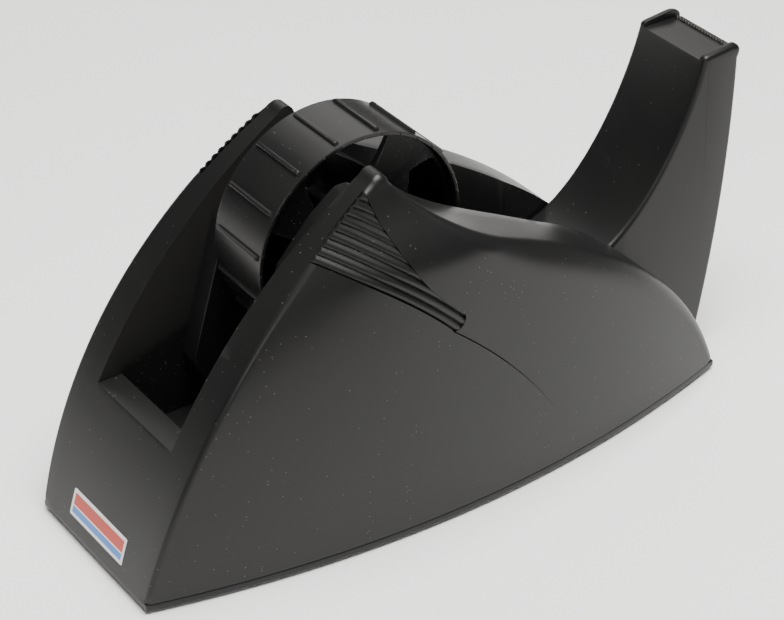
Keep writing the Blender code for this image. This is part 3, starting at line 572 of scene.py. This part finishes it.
def gripBase():
    # centre and radius of the lowest rib's arc, seen from the side
    z = axlePoint.z + grip["cornerRise"]
    first = Vector((frontX(z), z))
    last = Vector((axlePoint.x + grip["end"][0], axlePoint.z + grip["end"][1]))
    span = last - first
    radius = (span.length / 2) ** 2 / (2 * grip["bow"]) + grip["bow"] / 2
    middle = (first + last) / 2
    downhill = Vector((span.y, -span.x)).normalized()
    return middle + downhill * (radius - grip["bow"]), radius, first, last


def gripOutline(grow, frontInset):
    centre, radius, first, last = gripBase()
    apex = (axlePoint.x + grip["apex"][0], axlePoint.z + grip["apex"][1])
    tip = (axlePoint.x + grip["tip"][0], axlePoint.z + grip["tip"][1])
    start = math.atan2(first.y - centre.y, first.x - centre.x) + 0.03
    end = math.atan2(last.y - centre.y, last.x - centre.x)
    bottom = []
    for i in range(37):
        angle = mixed(start, end, i / 36)
        bottom.append((centre.x + (radius - grow) * math.cos(angle),
                       centre.y + (radius - grow) * math.sin(angle)))
    bottom = [p for p in bottom if p[0] > frontX(p[1], frontInset)]
    reach = grip["noseReach"]
    nose = bezier(bottom[-1], (last.x + reach + grow, last.y - grip["noseDrop"] - grow),
                  (tip[0] + reach + grow, tip[1] - reach), (tip[0] + grow, tip[1]), 10)
    right = bulged((tip[0] + grow, tip[1]), (apex[0] + grow, apex[1] + grow), grip["sideBow"], 30)
    left = frontLine(right[-1][1], bottom[0][1], frontInset, 24)
    left = [(x, z) for x, z in left if z < right[-1][1] - 0.0001]
    return bottom + nose[1:] + right[1:] + left[:-1]


def gripSheet(name, side, rise, rows):
    # a sheet that follows the wall, with its rows along the ribs
    columns = grip["sheetColumns"]
    centre, radius, first, last = gripBase()
    start = math.atan2(first.y - centre.y, first.x - centre.x) + 0.12
    end = math.atan2(last.y - centre.y, last.x - centre.x) - 0.06

    def place(column, row):
        angle = mixed(start, end, column / columns)
        height = mixed(*grip["sheetReach"], row / rows)
        x = centre.x + (radius + height) * math.cos(angle)
        z = centre.y + (radius + height) * math.sin(angle)
        return (x, side * (wallHalf(x, z) - rise(height)), z)

    return gridPiece(name, columns, rows, place)


def ribDepth(height):
    # how deep the ribbed surface lies at a height above the lowest rib's edge
    share = (height / grip["ribPitch"]) % 1.0
    crest = math.sin(math.pi * share) ** grip["ribFullness"]
    return grip["crest"] + grip["ribRise"] * (1 - crest)


def thicken(piece, step):
    pick(piece, lambda centre, normal: True, "FACE")
    bpy.ops.mesh.extrude_region_move(TRANSFORM_OT_translate={"value": (0, step, 0)})
    endEdit()
    faceOut(piece)


def gripPlate(name, side, outline):
    # the grip's outline, from inside the wall to outside it
    return outlinePlate(name, outline, *sorted((side * housing["wellHalf"], side * 0.06)))


def makeGrip(side, name):
    ribs = gripSheet(name, side, ribDepth, grip["sheetRows"])
    thicken(ribs, -side * (grip["recess"] - grip["ribRise"] - grip["crest"] - 0.0001))
    cut(ribs, gripPlate("grip_edge", side, gripOutline(-0.00004, 0.00005)), "INTERSECT")
    smooth(ribs, 40.0)
    return ribs


def gripRecess(side):
    floor = gripSheet("grip_recess", side, lambda height: grip["recess"], 20)
    thicken(floor, side * 0.02)
    cut(floor, gripPlate("recess_edge", side, gripOutline(0.00004, -0.004)), "INTERSECT")
    return floor


def creaseCutter(side):
    # a fading score line that runs on from the lowest rib
    centre, radius, first, last = gripBase()
    start = (last.x - 0.0006, last.y + 0.0003)
    end = (axlePoint.x + grip["creaseEnd"][0], axlePoint.z + grip["creaseEnd"][1])
    columns = grip["creaseColumns"]
    line = bulged(start, end, grip["creaseBow"], columns)

    def place(column, row):
        before, after = line[max(column - 1, 0)], line[min(column + 1, columns)]
        dx, dz = after[0] - before[0], after[1] - before[1]
        length = math.hypot(dx, dz)
        fade = 1 - smoothStep(column / columns * 1.02)
        aside = grip["creaseWidth"] * (0.35 + 0.65 * fade) * (row - 1)
        x, z = line[column][0] - dz / length * aside, line[column][1] + dx / length * aside
        depth = grip["creaseDepth"] * fade if row == 1 else -0.0004
        return (x, side * (wallHalf(x, z) - depth), z)

    cutter = gridPiece("crease", columns, 2, place)
    thicken(cutter, side * 0.003)
    return cutter


arm = {
    "half": 0.0176,
    "topHalf": 0.0171,
    "wall": 0.0024,
    "headHalf": 0.0142,
    "frontHandles": (0.0270, 75.6, 0.0222, 6.7),
    "lip": (0.0858, -0.0387),   # from the axle
    "footSetback": 0.0720,
    "backRadius": 0.5250,
    "backTop": (0.0014, 0.0049),        # where the back is upright: in front of the head, below the platform
    "platformRise": 0.0232,
    "headDepth": 0.0166,
    "crestSetback": 0.0048,
    "brow": (0.0136, 0.0009),   # in front of the head's back and below its top
    "gutter": ((0.0040, 0.0008), (0.0070, 0.0032), (0.0092, 0.0083)),       # in front of and below the lip
    "hollowGutter": ((0.0030, 0.0022), (0.0055, 0.0078)),
    "hollowShelf": (0.0062, 0.0060, 0.0160),    # depth, and the hollow's two tops below the platform
    "edgeRounding": 0.0018,
    "earRounding": 0.0009,
}
headX = armBox[1].x
headZ = armBox[1].z
platformZ = axlePoint.z + arm["platformRise"]


def armFront(count):
    top = (headX - arm["headDepth"], platformZ)
    lip = (axlePoint.x + arm["lip"][0], axlePoint.z + arm["lip"][1])
    topHandle, topSlope, lipHandle, lipSlope = arm["frontHandles"]
    return bezier(top, along(top, topHandle, 180.0 + topSlope), along(lip, lipHandle, lipSlope), lip, count)


def armBack(low, high, inset, count):
    setback, drop = arm["backTop"]
    centre = (headX - setback - arm["backRadius"], platformZ - drop)
    points = []
    for i in range(count + 1):
        z = mixed(low, high, i / count)
        points.append((centre[0] + math.sqrt((arm["backRadius"] - inset) ** 2 - (z - centre[1]) ** 2), z))
    return points


def armOutline():
    back = armBack(rimZ, platformZ - 0.0024, 0.0, 30)
    crest = (headX - arm["crestSetback"], headZ)
    brow = (headX - arm["brow"][0], headZ - arm["brow"][1])
    corner = bezier(back[-1], (headX + 0.0001, platformZ), (headX - 0.0003, headZ - 0.0001), crest, 10)
    front = armFront(54)
    top = front[0]
    nose = bezier(brow, (brow[0] - 0.0018, brow[1] - 0.0002), (top[0] + 0.0002, top[1] + 0.0016), top, 8)
    footX = axlePoint.x + arm["footSetback"]
    lipX, lipZ = front[-1]
    under = [(lipX - x, lipZ - z) for x, z in arm["gutter"]]
    under += [(footX, housing["wellFloor"] + 0.0020), (footX, rimZ)]
    return back + corner[1:] + nose + front[1:] + under


def armHollow():
    front = shifted(armFront(24), arm["wall"])[4:]
    footX = axlePoint.x + arm["footSetback"] + arm["wall"]
    lipX, lipZ = front[-1]
    under = [(lipX - x, lipZ - z) for x, z in arm["hollowGutter"]]
    under += [(footX, housing["wellFloor"] + 0.0020), (footX, rimZ - 0.005)]
    shelfDepth, frontDrop, backDrop = arm["hollowShelf"]
    back = armBack(rimZ - 0.005, platformZ - backDrop, arm["wall"], 10)
    shelfX, topZ = back[-1][0] - shelfDepth, platformZ - frontDrop
    top = [(shelfX, back[-1][1]), (shelfX, topZ), (front[0][0] + 0.0012, topZ)]
    return back + top + front + under


def makeArm():
    piece = outlinePlate("cutter_arm_visual", armOutline(), -arm["half"], arm["half"])
    pick(piece, lambda a, b: abs(a.y - b.y) < 0.0001, "EDGE")
    bpy.ops.mesh.bevel(offset=arm["edgeRounding"], segments=5, affect="EDGES", clamp_overlap=False)
    endEdit()
    hollowHalf = arm["half"] - arm["wall"]
    cut(piece, outlinePlate("arm_hollow", armHollow(), -hollowHalf, hollowHalf))
    platformBack = bladeBox[0].x - fitGap
    bladeFloor = bladeBox[0].z - fitGap
    head = [(0.0, platformZ), (platformBack, platformZ), (platformBack, bladeFloor),
            (far, bladeFloor), (far, far), (0.0, far)]
    cut(piece, outlinePlate("head_cut", head, -arm["headHalf"], arm["headHalf"]))

    def onEar(*ends):
        return all(abs(abs(p.y) - arm["headHalf"]) < 0.00005 and p.z > platformZ + 0.0006 for p in ends)

    pick(piece, onEar, "EDGE")
    bpy.ops.mesh.bevel(offset=arm["earRounding"], segments=3, affect="EDGES", clamp_overlap=True)
    endEdit()
    narrowing = arm["topHalf"] / arm["half"]
    for vertex in piece.data.vertices:
        if abs(vertex.co.y) > 0.0150:       # the outer sides lean in, the hollow's stay upright
            share = (vertex.co.z - rimZ) / (headZ - rimZ)
            vertex.co.y *= mixed(1.0, narrowing, max(share, 0.0))
    smooth(piece, 34.0)
    return piece


drum = {
    "radius": 0.0375,
    "width": 0.0258,
    "rimWall": 0.0013,
    "webThickness": 0.0020,
    "webRecess": 0.0040,
    "hubRadius": 0.0085,
    "boreRadius": 0.00358,
    "edgeRounding": 0.0003,
    "ribCount": 16,
    "ribWidth": 0.0019,
    "ribRise": 0.0011,
    "ribShort": 0.0011,         # the ribs stop this far from the rim's edges
    "ribPhase": -12.0,
    "ribSink": 0.0006,          # into the rim
    "ribTaper": (0.62, 0.93),   # the ribs' tops against their feet
    "ribRounding": 0.00022,
    "bumpCount": 32,
    "bumpSize": (0.0009, 0.0006, 0.0007),
    "bumpLead": 2.0,
    "bumpRounding": 0.00015,
    "windowCount": 4,
    "windowPhase": 83.0,
    "windowCorners": ((0.0140, -41.0), (0.0150, 5.0), (0.0350, 29.0), (0.0352, -26.0)),
    "windowBow": 0.0013,        # the sides towards the spokes bulge
    "windowRounding": 0.0022,
    "rimRows": 9,
}


def ringProfile():
    half, radius = drum["width"] / 2, drum["radius"]
    rim, hub, bore = radius - drum["rimWall"], drum["hubRadius"], drum["boreRadius"]
    low = -half + drum["webRecess"]
    high = low + drum["webThickness"]
    corners = [(radius, half), (rim, half), (rim, high), (hub, high), (hub, half), (bore, half),
               (bore, -half), (hub, -half), (hub, low), (rim, low), (rim, -half), (radius, -half)]
    profile = rounded(corners, drum["edgeRounding"])
    reach = half - 2 * drum["edgeRounding"]
    return profile + [(radius, mixed(-reach, reach, i / drum["rimRows"])) for i in range(drum["rimRows"] + 1)]


def windowOutline(turn):
    # one opening of the web, closing towards the hub, at an angle from the top
    def at(radius, degrees):
        angle = math.radians(turn + degrees)
        return (axlePoint.x + radius * math.sin(angle), axlePoint.z + radius * math.cos(angle))

    def arcBetween(first, last, count):
        return [at(mixed(first[0], last[0], k / count), mixed(first[1], last[1], k / count))
                for k in range(count + 1)]

    innerLow, innerHigh, outerHigh, outerLow = drum["windowCorners"]
    arc = arcBetween(outerLow, outerHigh, 12)
    inner = arcBetween(innerHigh, innerLow, 4)
    down = bulged(arc[-1], inner[0], drum["windowBow"], 8)
    up = bulged(inner[-1], arc[0], drum["windowBow"], 8)
    outline = arc[:-1] + down[:-1] + inner[:-1] + up[:-1]
    return rounded(outline, drum["windowRounding"], 2)


def makeDrum():
    piece = turnedPiece("core_drum_visual", ringProfile(), 192, axlePoint)
    radius, half = drum["radius"], drum["width"] / 2
    bpy.ops.mesh.primitive_cube_add(size=1.0)
    rib = bpy.context.object
    depth = drum["ribRise"] + drum["ribSink"]
    rib.data.transform(Matrix.Translation((0, 0, radius + drum["ribRise"] - depth / 2))
                       @ Matrix.Diagonal((drum["ribWidth"], drum["width"] - 2 * drum["ribShort"], depth, 1)))
    pick(rib, lambda centre, normal: normal.z > 0.9, "FACE")
    bpy.ops.transform.resize(value=(*drum["ribTaper"], 1.0), center_override=(0, 0, radius))
    bpy.ops.mesh.select_mode(type="EDGE")
    bpy.ops.mesh.bevel(offset=drum["ribRounding"], segments=2, affect="EDGES")
    endEdit()
    ribs = copyTurned(rib, drum["ribCount"], axlePoint, math.radians(drum["ribPhase"]))
    cut(piece, ribs, "UNION")
    bpy.ops.mesh.primitive_cube_add(size=1.0)
    bump = bpy.context.object
    wide, deep, tall = drum["bumpSize"]
    bump.data.transform(Matrix.Translation((0, -half + 0.0001, radius - drum["rimWall"] / 2))
                        @ Matrix.Diagonal((wide, deep, tall, 1)))
    pick(bump, lambda centre, normal: True, "FACE")
    bpy.ops.mesh.bevel(offset=drum["bumpRounding"], segments=2, affect="EDGES")
    endEdit()
    bumps = copyTurned(bump, drum["bumpCount"], axlePoint, math.radians(drum["ribPhase"] + drum["bumpLead"]))
    cut(piece, bumps, "UNION")
    low = -half + drum["webRecess"]
    for i in range(drum["windowCount"]):
        outline = windowOutline(drum["windowPhase"] + 360.0 * i / drum["windowCount"])
        cut(piece, outlinePlate("window", outline, low - 0.001, low + drum["webThickness"] + 0.001))
    smooth(piece, 30.0)
    return piece


bracket = {
    "slotRadius": 0.0038,
    "rounding": 0.0012,
    "edgeRounding": 0.0004,
}


def bracketOutline():
    # (x, z) from the axle: the front slope, the open slot, the rear slope and the foot
    reach = bracket["slotRadius"]
    front = [(-0.0368, -0.0556), (-0.0442, -0.0467), (-0.0462, -0.0424), (-0.0324, 0.0050),
             (-0.0205, 0.0180), (-0.0110, 0.0252)]
    back = [(0.0075, 0.0170), (0.0165, 0.0105), (0.0240, 0.0040), (0.0462, -0.0424),
            (0.0442, -0.0467), (0.0368, -0.0556)]
    slot = [(-reach - 0.0025, 0.0250), (-reach, 0.0215)]
    for i in range(17):
        angle = math.pi + math.pi * i / 16
        slot.append((reach * math.cos(angle), reach * math.sin(angle)))
    slot += [(reach, 0.0165), (reach + 0.0015, 0.0182)]
    floor = housing["wellFloor"] + fitGap - axlePoint.z
    base = [(0.0300, floor), (-0.0300, floor)]
    points = [(axlePoint.x + x, axlePoint.z + z) for x, z in front + slot + back + base]
    return rounded(points, bracket["rounding"])


def makeBracket(name, node):
    low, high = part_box(node)
    piece = outlinePlate(name, bracketOutline(), low.y, high.y)
    pick(piece, lambda a, b: abs(a.y - b.y) < 0.00001, "EDGE")
    bpy.ops.mesh.bevel(offset=bracket["edgeRounding"], segments=3, affect="EDGES", clamp_overlap=True)
    endEdit()
    smooth(piece, 34.0)
    return piece


base = {
    "inset": 0.0003,
    "edgeRounding": 0.0005,
    "tongueGap": 0.0005,        # the tongue under the arm is narrower than the arm
    "screwHole": 0.0018,
    "seatRadius": 0.0035,
    "seatDepth": 0.0017,
}


def baseOutline():
    low, high = frontX(rimZ) + base["inset"], tailX - base["inset"]
    near = []
    for i in range(81):
        x = mixed(low, high, i / 80)
        near.append((x, -wallHalf(x, rimZ) + base["inset"]))
    tongue = arm["half"] - base["tongueGap"]
    tongueX = armBack(rimZ, rimZ + 0.01, 0.0, 1)[0][0] - base["inset"]
    near += [(high, -tongue), (tongueX, -tongue)]
    return near + [(x, -y) for x, y in reversed(near)]


def plug(name, radius, centre, low, high, steps=40):
    bpy.ops.mesh.primitive_cylinder_add(vertices=steps, radius=radius, depth=high - low,
                                        location=(centre.x, centre.y, (low + high) / 2))
    piece = bpy.context.object
    piece.name = name
    applyPlace(piece)
    return piece


def makeBase():
    low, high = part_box("base_plate")
    piece = outlinePlate("base_plate_visual", baseOutline(), low.z, high.z, "Z")
    pick(piece, lambda a, b: abs(a.z - b.z) < 0.00001, "EDGE")
    bpy.ops.mesh.bevel(offset=base["edgeRounding"], segments=3, affect="EDGES", clamp_overlap=True)
    endEdit()
    for node in frame["nodes"]:
        if node.startswith(("base_screw", "foot_pad")):
            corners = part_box(node)
            middle = (corners[0] + corners[1]) / 2
            if node.startswith("foot_pad"):
                radius = (corners[1].x - corners[0].x) / 2 + fitGap
                cut(piece, plug("seat", radius, middle, low.z - 0.005, corners[1].z + fitGap, 64))
            else:
                cut(piece, plug("hole", base["screwHole"], middle, low.z - 0.005, high.z + 0.005))
                cut(piece, plug("seat", base["seatRadius"], middle, low.z - 0.005, low.z + base["seatDepth"]))
    smooth(piece, 34.0)
    return piece


label = {
    "proud": 0.00012,           # outside the label end's wall
    "sunk": 0.00008,            # into it
    "bends": 8,                 # level strips that follow the curve
    "cornerRounding": 0.0006,
    "border": 0.0011,
    "bandHeight": 0.0022,       # the plain stripe along the lower edge
    "stripe": 0.0005,
    "paper": ((0.74, 0.73, 0.71), (0.82, 0.81, 0.80)),
    "blue": (0.045, 0.22, 0.62),
    "red": (0.52, 0.035, 0.015),
}


def makeLabel():
    low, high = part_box("label_sticker")
    outline = rounded([(low.y, low.z), (high.y, low.z), (high.y, high.z), (low.y, high.z)],
                      label["cornerRounding"], 5)
    piece = outlinePlate("label_sticker_visual", outline, 0.0, 0.0002, "X")
    useOnly(piece)
    bpy.ops.object.mode_set(mode="EDIT")
    for i in range(1, label["bends"]):
        height = mixed(low.z, high.z, i / label["bends"])
        bpy.ops.mesh.select_all(action="SELECT")
        bpy.ops.mesh.bisect(plane_co=(0, 0, height), plane_no=(0, 0, 1))
    endEdit()
    for vertex in piece.data.vertices:
        depth = label["sunk"] if vertex.co.x > 0.0001 else -label["proud"]
        vertex.co.x = frontX(vertex.co.z, depth)
    faceOut(piece)
    smooth(piece, 34.0)
    return piece


def nodeTools(name):
    # a new material, its shader, and short ways to add a node and a link
    material = bpy.data.materials.new(name)
    material.use_nodes = True
    nodes, links = material.node_tree.nodes, material.node_tree.links

    def add(kind, **inputs):
        node = nodes.new(kind)
        for key, value in inputs.items():
            node.inputs[key.replace("_", " ")].default_value = value
        return node

    return material, nodes["Principled BSDF"], add, links.new


def mathNode(add, operation, value=None):
    node = add("ShaderNodeMath")
    node.operation = operation
    if value is not None:
        node.inputs[1].default_value = value
    return node


def mixNode(add, colour):
    # the fixed colour lies over whatever is linked to input 6
    node = add("ShaderNodeMix")
    node.data_type = "RGBA"
    node.inputs[7].default_value = (*colour, 1.0)
    return node


def ramp(add, low, high, lowColour, highColour):
    node = add("ShaderNodeValToRGB")
    node.color_ramp.elements[0].position = low
    node.color_ramp.elements[0].color = (*lowColour, 1.0)
    node.color_ramp.elements[1].position = high
    node.color_ramp.elements[1].color = (*highColour, 1.0)
    return node


def mouldedBlack(name, look):
    # satin moulding: fine grain, cloudy sheen, rubbed edges and settled dust
    material, shader, add, link = nodeTools(name)
    coords = add("ShaderNodeTexCoord")
    cloud = add("ShaderNodeTexNoise", Scale=look["cloudScale"], Detail=3.0, Roughness=0.55)
    grain = add("ShaderNodeTexNoise", Scale=look["grainScale"], Detail=2.0, Roughness=0.6)
    specks = add("ShaderNodeTexVoronoi", Scale=look["dustScale"], Randomness=1.0)
    for node in (cloud, grain, specks):
        link(coords.outputs["Object"], node.inputs["Vector"])
    tint = ramp(add, 0.30, 0.72, look["dark"], look["light"])
    link(cloud.outputs["Fac"], tint.inputs[0])
    dust = mathNode(add, "LESS_THAN", look["dustSize"])
    link(specks.outputs["Distance"], dust.inputs[0])
    sparse = mathNode(add, "GREATER_THAN", look["dustSparse"])
    link(specks.outputs["Color"], sparse.inputs[0])
    both = mathNode(add, "MULTIPLY")
    link(dust.outputs[0], both.inputs[0])
    link(sparse.outputs[0], both.inputs[1])
    dusted = mixNode(add, look["dustColour"])
    link(both.outputs[0], dusted.inputs[0])
    link(tint.outputs[0], dusted.inputs[6])
    geometry = add("ShaderNodeNewGeometry")
    rub = ramp(add, 0.53, 0.62, (0.0, 0.0, 0.0), (1.0, 1.0, 1.0))
    link(geometry.outputs["Pointiness"], rub.inputs[0])
    worn = mixNode(add, look["rubbed"])
    link(rub.outputs[0], worn.inputs[0])
    link(dusted.outputs[2], worn.inputs[6])
    link(worn.outputs[2], shader.inputs["Base Color"])
    rough = add("ShaderNodeMapRange")
    rough.inputs["To Min"].default_value = look["roughness"] - 0.05
    rough.inputs["To Max"].default_value = look["roughness"] + 0.06
    link(cloud.outputs["Fac"], rough.inputs["Value"])
    link(rough.outputs[0], shader.inputs["Roughness"])
    bump = add("ShaderNodeBump", Strength=look["grainStrength"], Distance=0.00006)
    link(grain.outputs["Fac"], bump.inputs["Height"])
    link(bump.outputs[0], shader.inputs["Normal"])
    shader.inputs["Specular IOR Level"].default_value = look["sheen"]
    return material


def blackLook(level, roughness, **changes):
    look = {
        "dark": (level * 0.86,) * 3,
        "light": (level * 1.14, level * 1.14, level * 1.10),
        "rubbed": (level * 1.9, level * 1.85, level * 1.8),
        "dustColour": (0.13, 0.125, 0.115),
        "roughness": roughness,
        "sheen": 0.28,
        "cloudScale": 26.0,
        "grainScale": 2600.0,
        "grainStrength": 0.22,
        "dustScale": 900.0,
        "dustSize": 0.14,
        "dustSparse": 0.82,
    }
    look.update(changes)
    return look


def metal(name, colour, roughness, streak):
    # bare or plated metal, its noise drawn out by streak
    material, shader, add, link = nodeTools(name)
    coords = add("ShaderNodeTexCoord")
    mapping = add("ShaderNodeMapping")
    mapping.inputs["Scale"].default_value = streak
    noise = add("ShaderNodeTexNoise", Scale=60.0, Detail=4.0)
    link(coords.outputs["Object"], mapping.inputs["Vector"])
    link(mapping.outputs[0], noise.inputs["Vector"])
    tint = ramp(add, 0.3, 0.7, [c * 0.82 for c in colour], colour)
    link(noise.outputs["Fac"], tint.inputs[0])
    link(tint.outputs[0], shader.inputs["Base Color"])
    rough = add("ShaderNodeMapRange")
    rough.inputs["To Min"].default_value = roughness * 0.75
    rough.inputs["To Max"].default_value = roughness * 1.3
    link(noise.outputs["Fac"], rough.inputs["Value"])
    link(rough.outputs[0], shader.inputs["Roughness"])
    bump = add("ShaderNodeBump", Strength=0.2, Distance=0.00005)
    link(noise.outputs["Fac"], bump.inputs["Height"])
    link(bump.outputs[0], shader.inputs["Normal"])
    shader.inputs["Metallic"].default_value = 1.0
    return material


def labelFilm():
    # white border, plain red field and a plain blue stripe along the lower edge
    material, shader, add, link = nodeTools("label_film_print")
    low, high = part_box("label_sticker")
    coords = add("ShaderNodeTexCoord")
    split = add("ShaderNodeSeparateXYZ")
    link(coords.outputs["Object"], split.inputs[0])

    def inside(axis, start, end):
        above = mathNode(add, "GREATER_THAN", start)
        below = mathNode(add, "LESS_THAN", end)
        both = mathNode(add, "MULTIPLY")
        link(split.outputs[axis], above.inputs[0])
        link(split.outputs[axis], below.inputs[0])
        link(above.outputs[0], both.inputs[0])
        link(below.outputs[0], both.inputs[1])
        return both

    def patch(under, output, colour, bottom, top):
        area = mathNode(add, "MULTIPLY")
        across = inside("Y", low.y + label["border"], high.y - label["border"])
        upright = inside("Z", bottom, top)
        link(across.outputs[0], area.inputs[0])
        link(upright.outputs[0], area.inputs[1])
        mix = mixNode(add, colour)
        link(area.outputs[0], mix.inputs[0])
        link(under.outputs[output], mix.inputs[6])
        return mix

    fibre = add("ShaderNodeTexNoise", Scale=900.0, Detail=2.0)
    link(coords.outputs["Object"], fibre.inputs["Vector"])
    paper = ramp(add, 0.2, 0.8, *label["paper"])
    link(fibre.outputs["Fac"], paper.inputs[0])
    bandTop = low.z + label["border"] + label["bandHeight"]
    blue = patch(paper, 0, label["blue"], low.z + label["border"], bandTop)
    red = patch(blue, 2, label["red"], bandTop + label["stripe"], high.z - label["border"])
    link(red.outputs[2], shader.inputs["Base Color"])
    shader.inputs["Roughness"].default_value = 0.38
    bump = add("ShaderNodeBump", Strength=0.08, Distance=0.00003)
    link(fibre.outputs["Fac"], bump.inputs["Height"])
    link(bump.outputs[0], shader.inputs["Normal"])
    return material


def dress(piece, material):
    piece.data.materials.clear()
    piece.data.materials.append(material)


studio = {
    "azimuth": -35.151,
    "elevation": 33.737,
    "lens": 114.796,
    "distance": 0.78107,
    "rightShift": 0.016735,     # the camera's place beside the line through the drum centre
    "upShift": -0.026574,
    "lampColour": (1.0, 0.99, 0.97),
    "lamps": (                  # azimuth, elevation, distance, size, power
        ("key_overhead", 20.0, 80.0, 0.95, (0.75, 0.6), 27.0),
        ("rear_right", 145.0, 34.0, 1.5, (1.1, 0.8), 5.0),
        ("edge_light", -46.0, 24.0, 1.5, (0.3, 0.3), 3.6),
        ("sheet_light", 176.0, 50.0, 1.3, (0.5, 0.4), 0.9),
    ),
    "skyLow": 0.35,
    "skyStrength": 0.22,
    "floorColour": (0.93, 0.93, 0.92),
}


def lookFrom(azimuth, elevation):
    # the right, up and back directions of something that looks at the object
    a, e = math.radians(azimuth), math.radians(elevation)
    back = Vector((math.sin(a) * math.cos(e), -math.cos(a) * math.cos(e), math.sin(e)))
    right = Vector((math.cos(a), math.sin(a), 0.0))
    return right, back.cross(right), back


def makeCamera():
    right, up, back = lookFrom(studio["azimuth"], studio["elevation"])
    bpy.ops.object.camera_add()
    camera = bpy.context.object
    camera.name = "camera"
    camera.data.lens = studio["lens"]
    camera.data.sensor_width = 36.0
    camera.data.clip_start = 0.05
    place = axlePoint + back * studio["distance"] + right * studio["rightShift"] + up * studio["upShift"]
    turn = Matrix((right, up, back)).transposed().to_4x4()
    camera.matrix_world = Matrix.Translation(place) @ turn
    bpy.context.scene.camera = camera


def softBox(name, azimuth, elevation, distance, size, power):
    right, up, back = lookFrom(azimuth, elevation)
    bpy.ops.object.light_add(type="AREA")
    lamp = bpy.context.object
    lamp.name = name
    lamp.data.shape = "RECTANGLE"
    lamp.data.size, lamp.data.size_y = size
    lamp.data.energy = power
    lamp.data.color = studio["lampColour"]
    lamp.matrix_world = (Matrix.Translation(axlePoint + back * distance)
                         @ Matrix((right, up, back)).transposed().to_4x4())


def makeStudio():
    makeCamera()
    for lamp in studio["lamps"]:
        softBox(*lamp)
    world = bpy.data.worlds.new("studio")
    bpy.context.scene.world = world
    world.use_nodes = True
    nodes, links = world.node_tree.nodes, world.node_tree.links
    background = nodes["Background"]
    coords = nodes.new("ShaderNodeTexCoord")
    split = nodes.new("ShaderNodeSeparateXYZ")
    sky = ramp(nodes.new, 0.0, 0.9, (studio["skyLow"],) * 3, (1.0, 1.0, 1.0))
    links.new(coords.outputs["Generated"], split.inputs[0])
    links.new(split.outputs["Z"], sky.inputs[0])
    links.new(sky.outputs[0], background.inputs["Color"])
    background.inputs["Strength"].default_value = studio["skyStrength"]
    bpy.ops.mesh.primitive_plane_add(size=9.0, location=(0, 0, 0))
    floor = bpy.context.object
    floor.name = "floor"
    sheet = bpy.data.materials.new("floor_paper")
    sheet.use_nodes = True
    shader = sheet.node_tree.nodes["Principled BSDF"]
    shader.inputs["Base Color"].default_value = (*studio["floorColour"], 1.0)
    shader.inputs["Roughness"].default_value = 0.9
    floor.data.materials.append(sheet)


housingBlack = mouldedBlack("housing_black_moulded", blackLook(0.0070, 0.36))
gripBlack = mouldedBlack("grip_black_moulded", blackLook(0.0075, 0.38))
armBlack = mouldedBlack("arm_black_moulded", blackLook(0.0065, 0.36))
drumBlack = mouldedBlack("drum_black_moulded", blackLook(0.009, 0.27, grainStrength=0.15))
rubber = mouldedBlack("pad_rubber_moulded", blackLook(0.012, 0.82, grainStrength=0.6))
iron = mouldedBlack("ballast_iron_cast", blackLook(0.11, 0.72, grainScale=700.0, grainStrength=0.9))
bladeSteel = metal("blade_steel_strip", (0.62, 0.61, 0.58), 0.28, (1.0, 30.0, 1.0))
axleSteel = metal("axle_steel_ground", (0.55, 0.55, 0.55), 0.30, (25.0, 1.0, 25.0))
screwSteel = metal("screw_steel_zinc", (0.50, 0.50, 0.50), 0.35, (8.0, 8.0, 8.0))
print("materials done")

shell = makeHousing()
for side, name in ((-1, "right"), (1, "left")):
    cut(shell, gripRecess(side))
    cut(shell, creaseCutter(side))
    ribs = makeGrip(side, f"grip_insert_{name}_visual")
    dress(ribs, gripBlack)
    show(ribs, "stand", "grip_black", f"grip_insert_{name}")
smooth(shell)
dress(shell, housingBlack)
show(shell, "stand", "housing_black", "housing_shell")
print("housing and grips done", len(shell.data.polygons), "faces")

cutterArm = makeArm()
dress(cutterArm, armBlack)
show(cutterArm, "stand", "arm_black", "cutter_arm")
print("arm done", len(cutterArm.data.polygons), "faces")

drumPiece = makeDrum()
dress(drumPiece, drumBlack)
show(drumPiece, "drum", "drum_black", "core_drum")
print("drum done", len(drumPiece.data.polygons), "faces")

for side in ("left", "right"):
    plate = makeBracket(f"axle_bracket_{side}_visual", f"axle_bracket_{side}")
    dress(plate, housingBlack)
    show(plate, "stand", "housing_black", f"axle_bracket_{side}")

basePlate = makeBase()
dress(basePlate, housingBlack)
show(basePlate, "stand", "housing_black", "base_plate")

sticker = makeLabel()
dress(sticker, labelFilm())
show(sticker, "stand", "label_film", "label_sticker")

carried = {
    "cutter_blade": bladeSteel, "blade_clamp": armBlack, "clamp_screw": screwSteel, "base_screw": screwSteel,
    "foot_pad": rubber, "ballast": iron, "axle": axleSteel, "axle_clip": axleSteel,
}
for node, piece in frame["nodes"].items():
    for start, material in carried.items():
        if node.startswith(start) and not piece.hide_render:
            for materialSlot in piece.material_slots:
                materialSlot.material = material
print("brackets, base, label and carried pieces done")

makeStudio()
print("studio done")
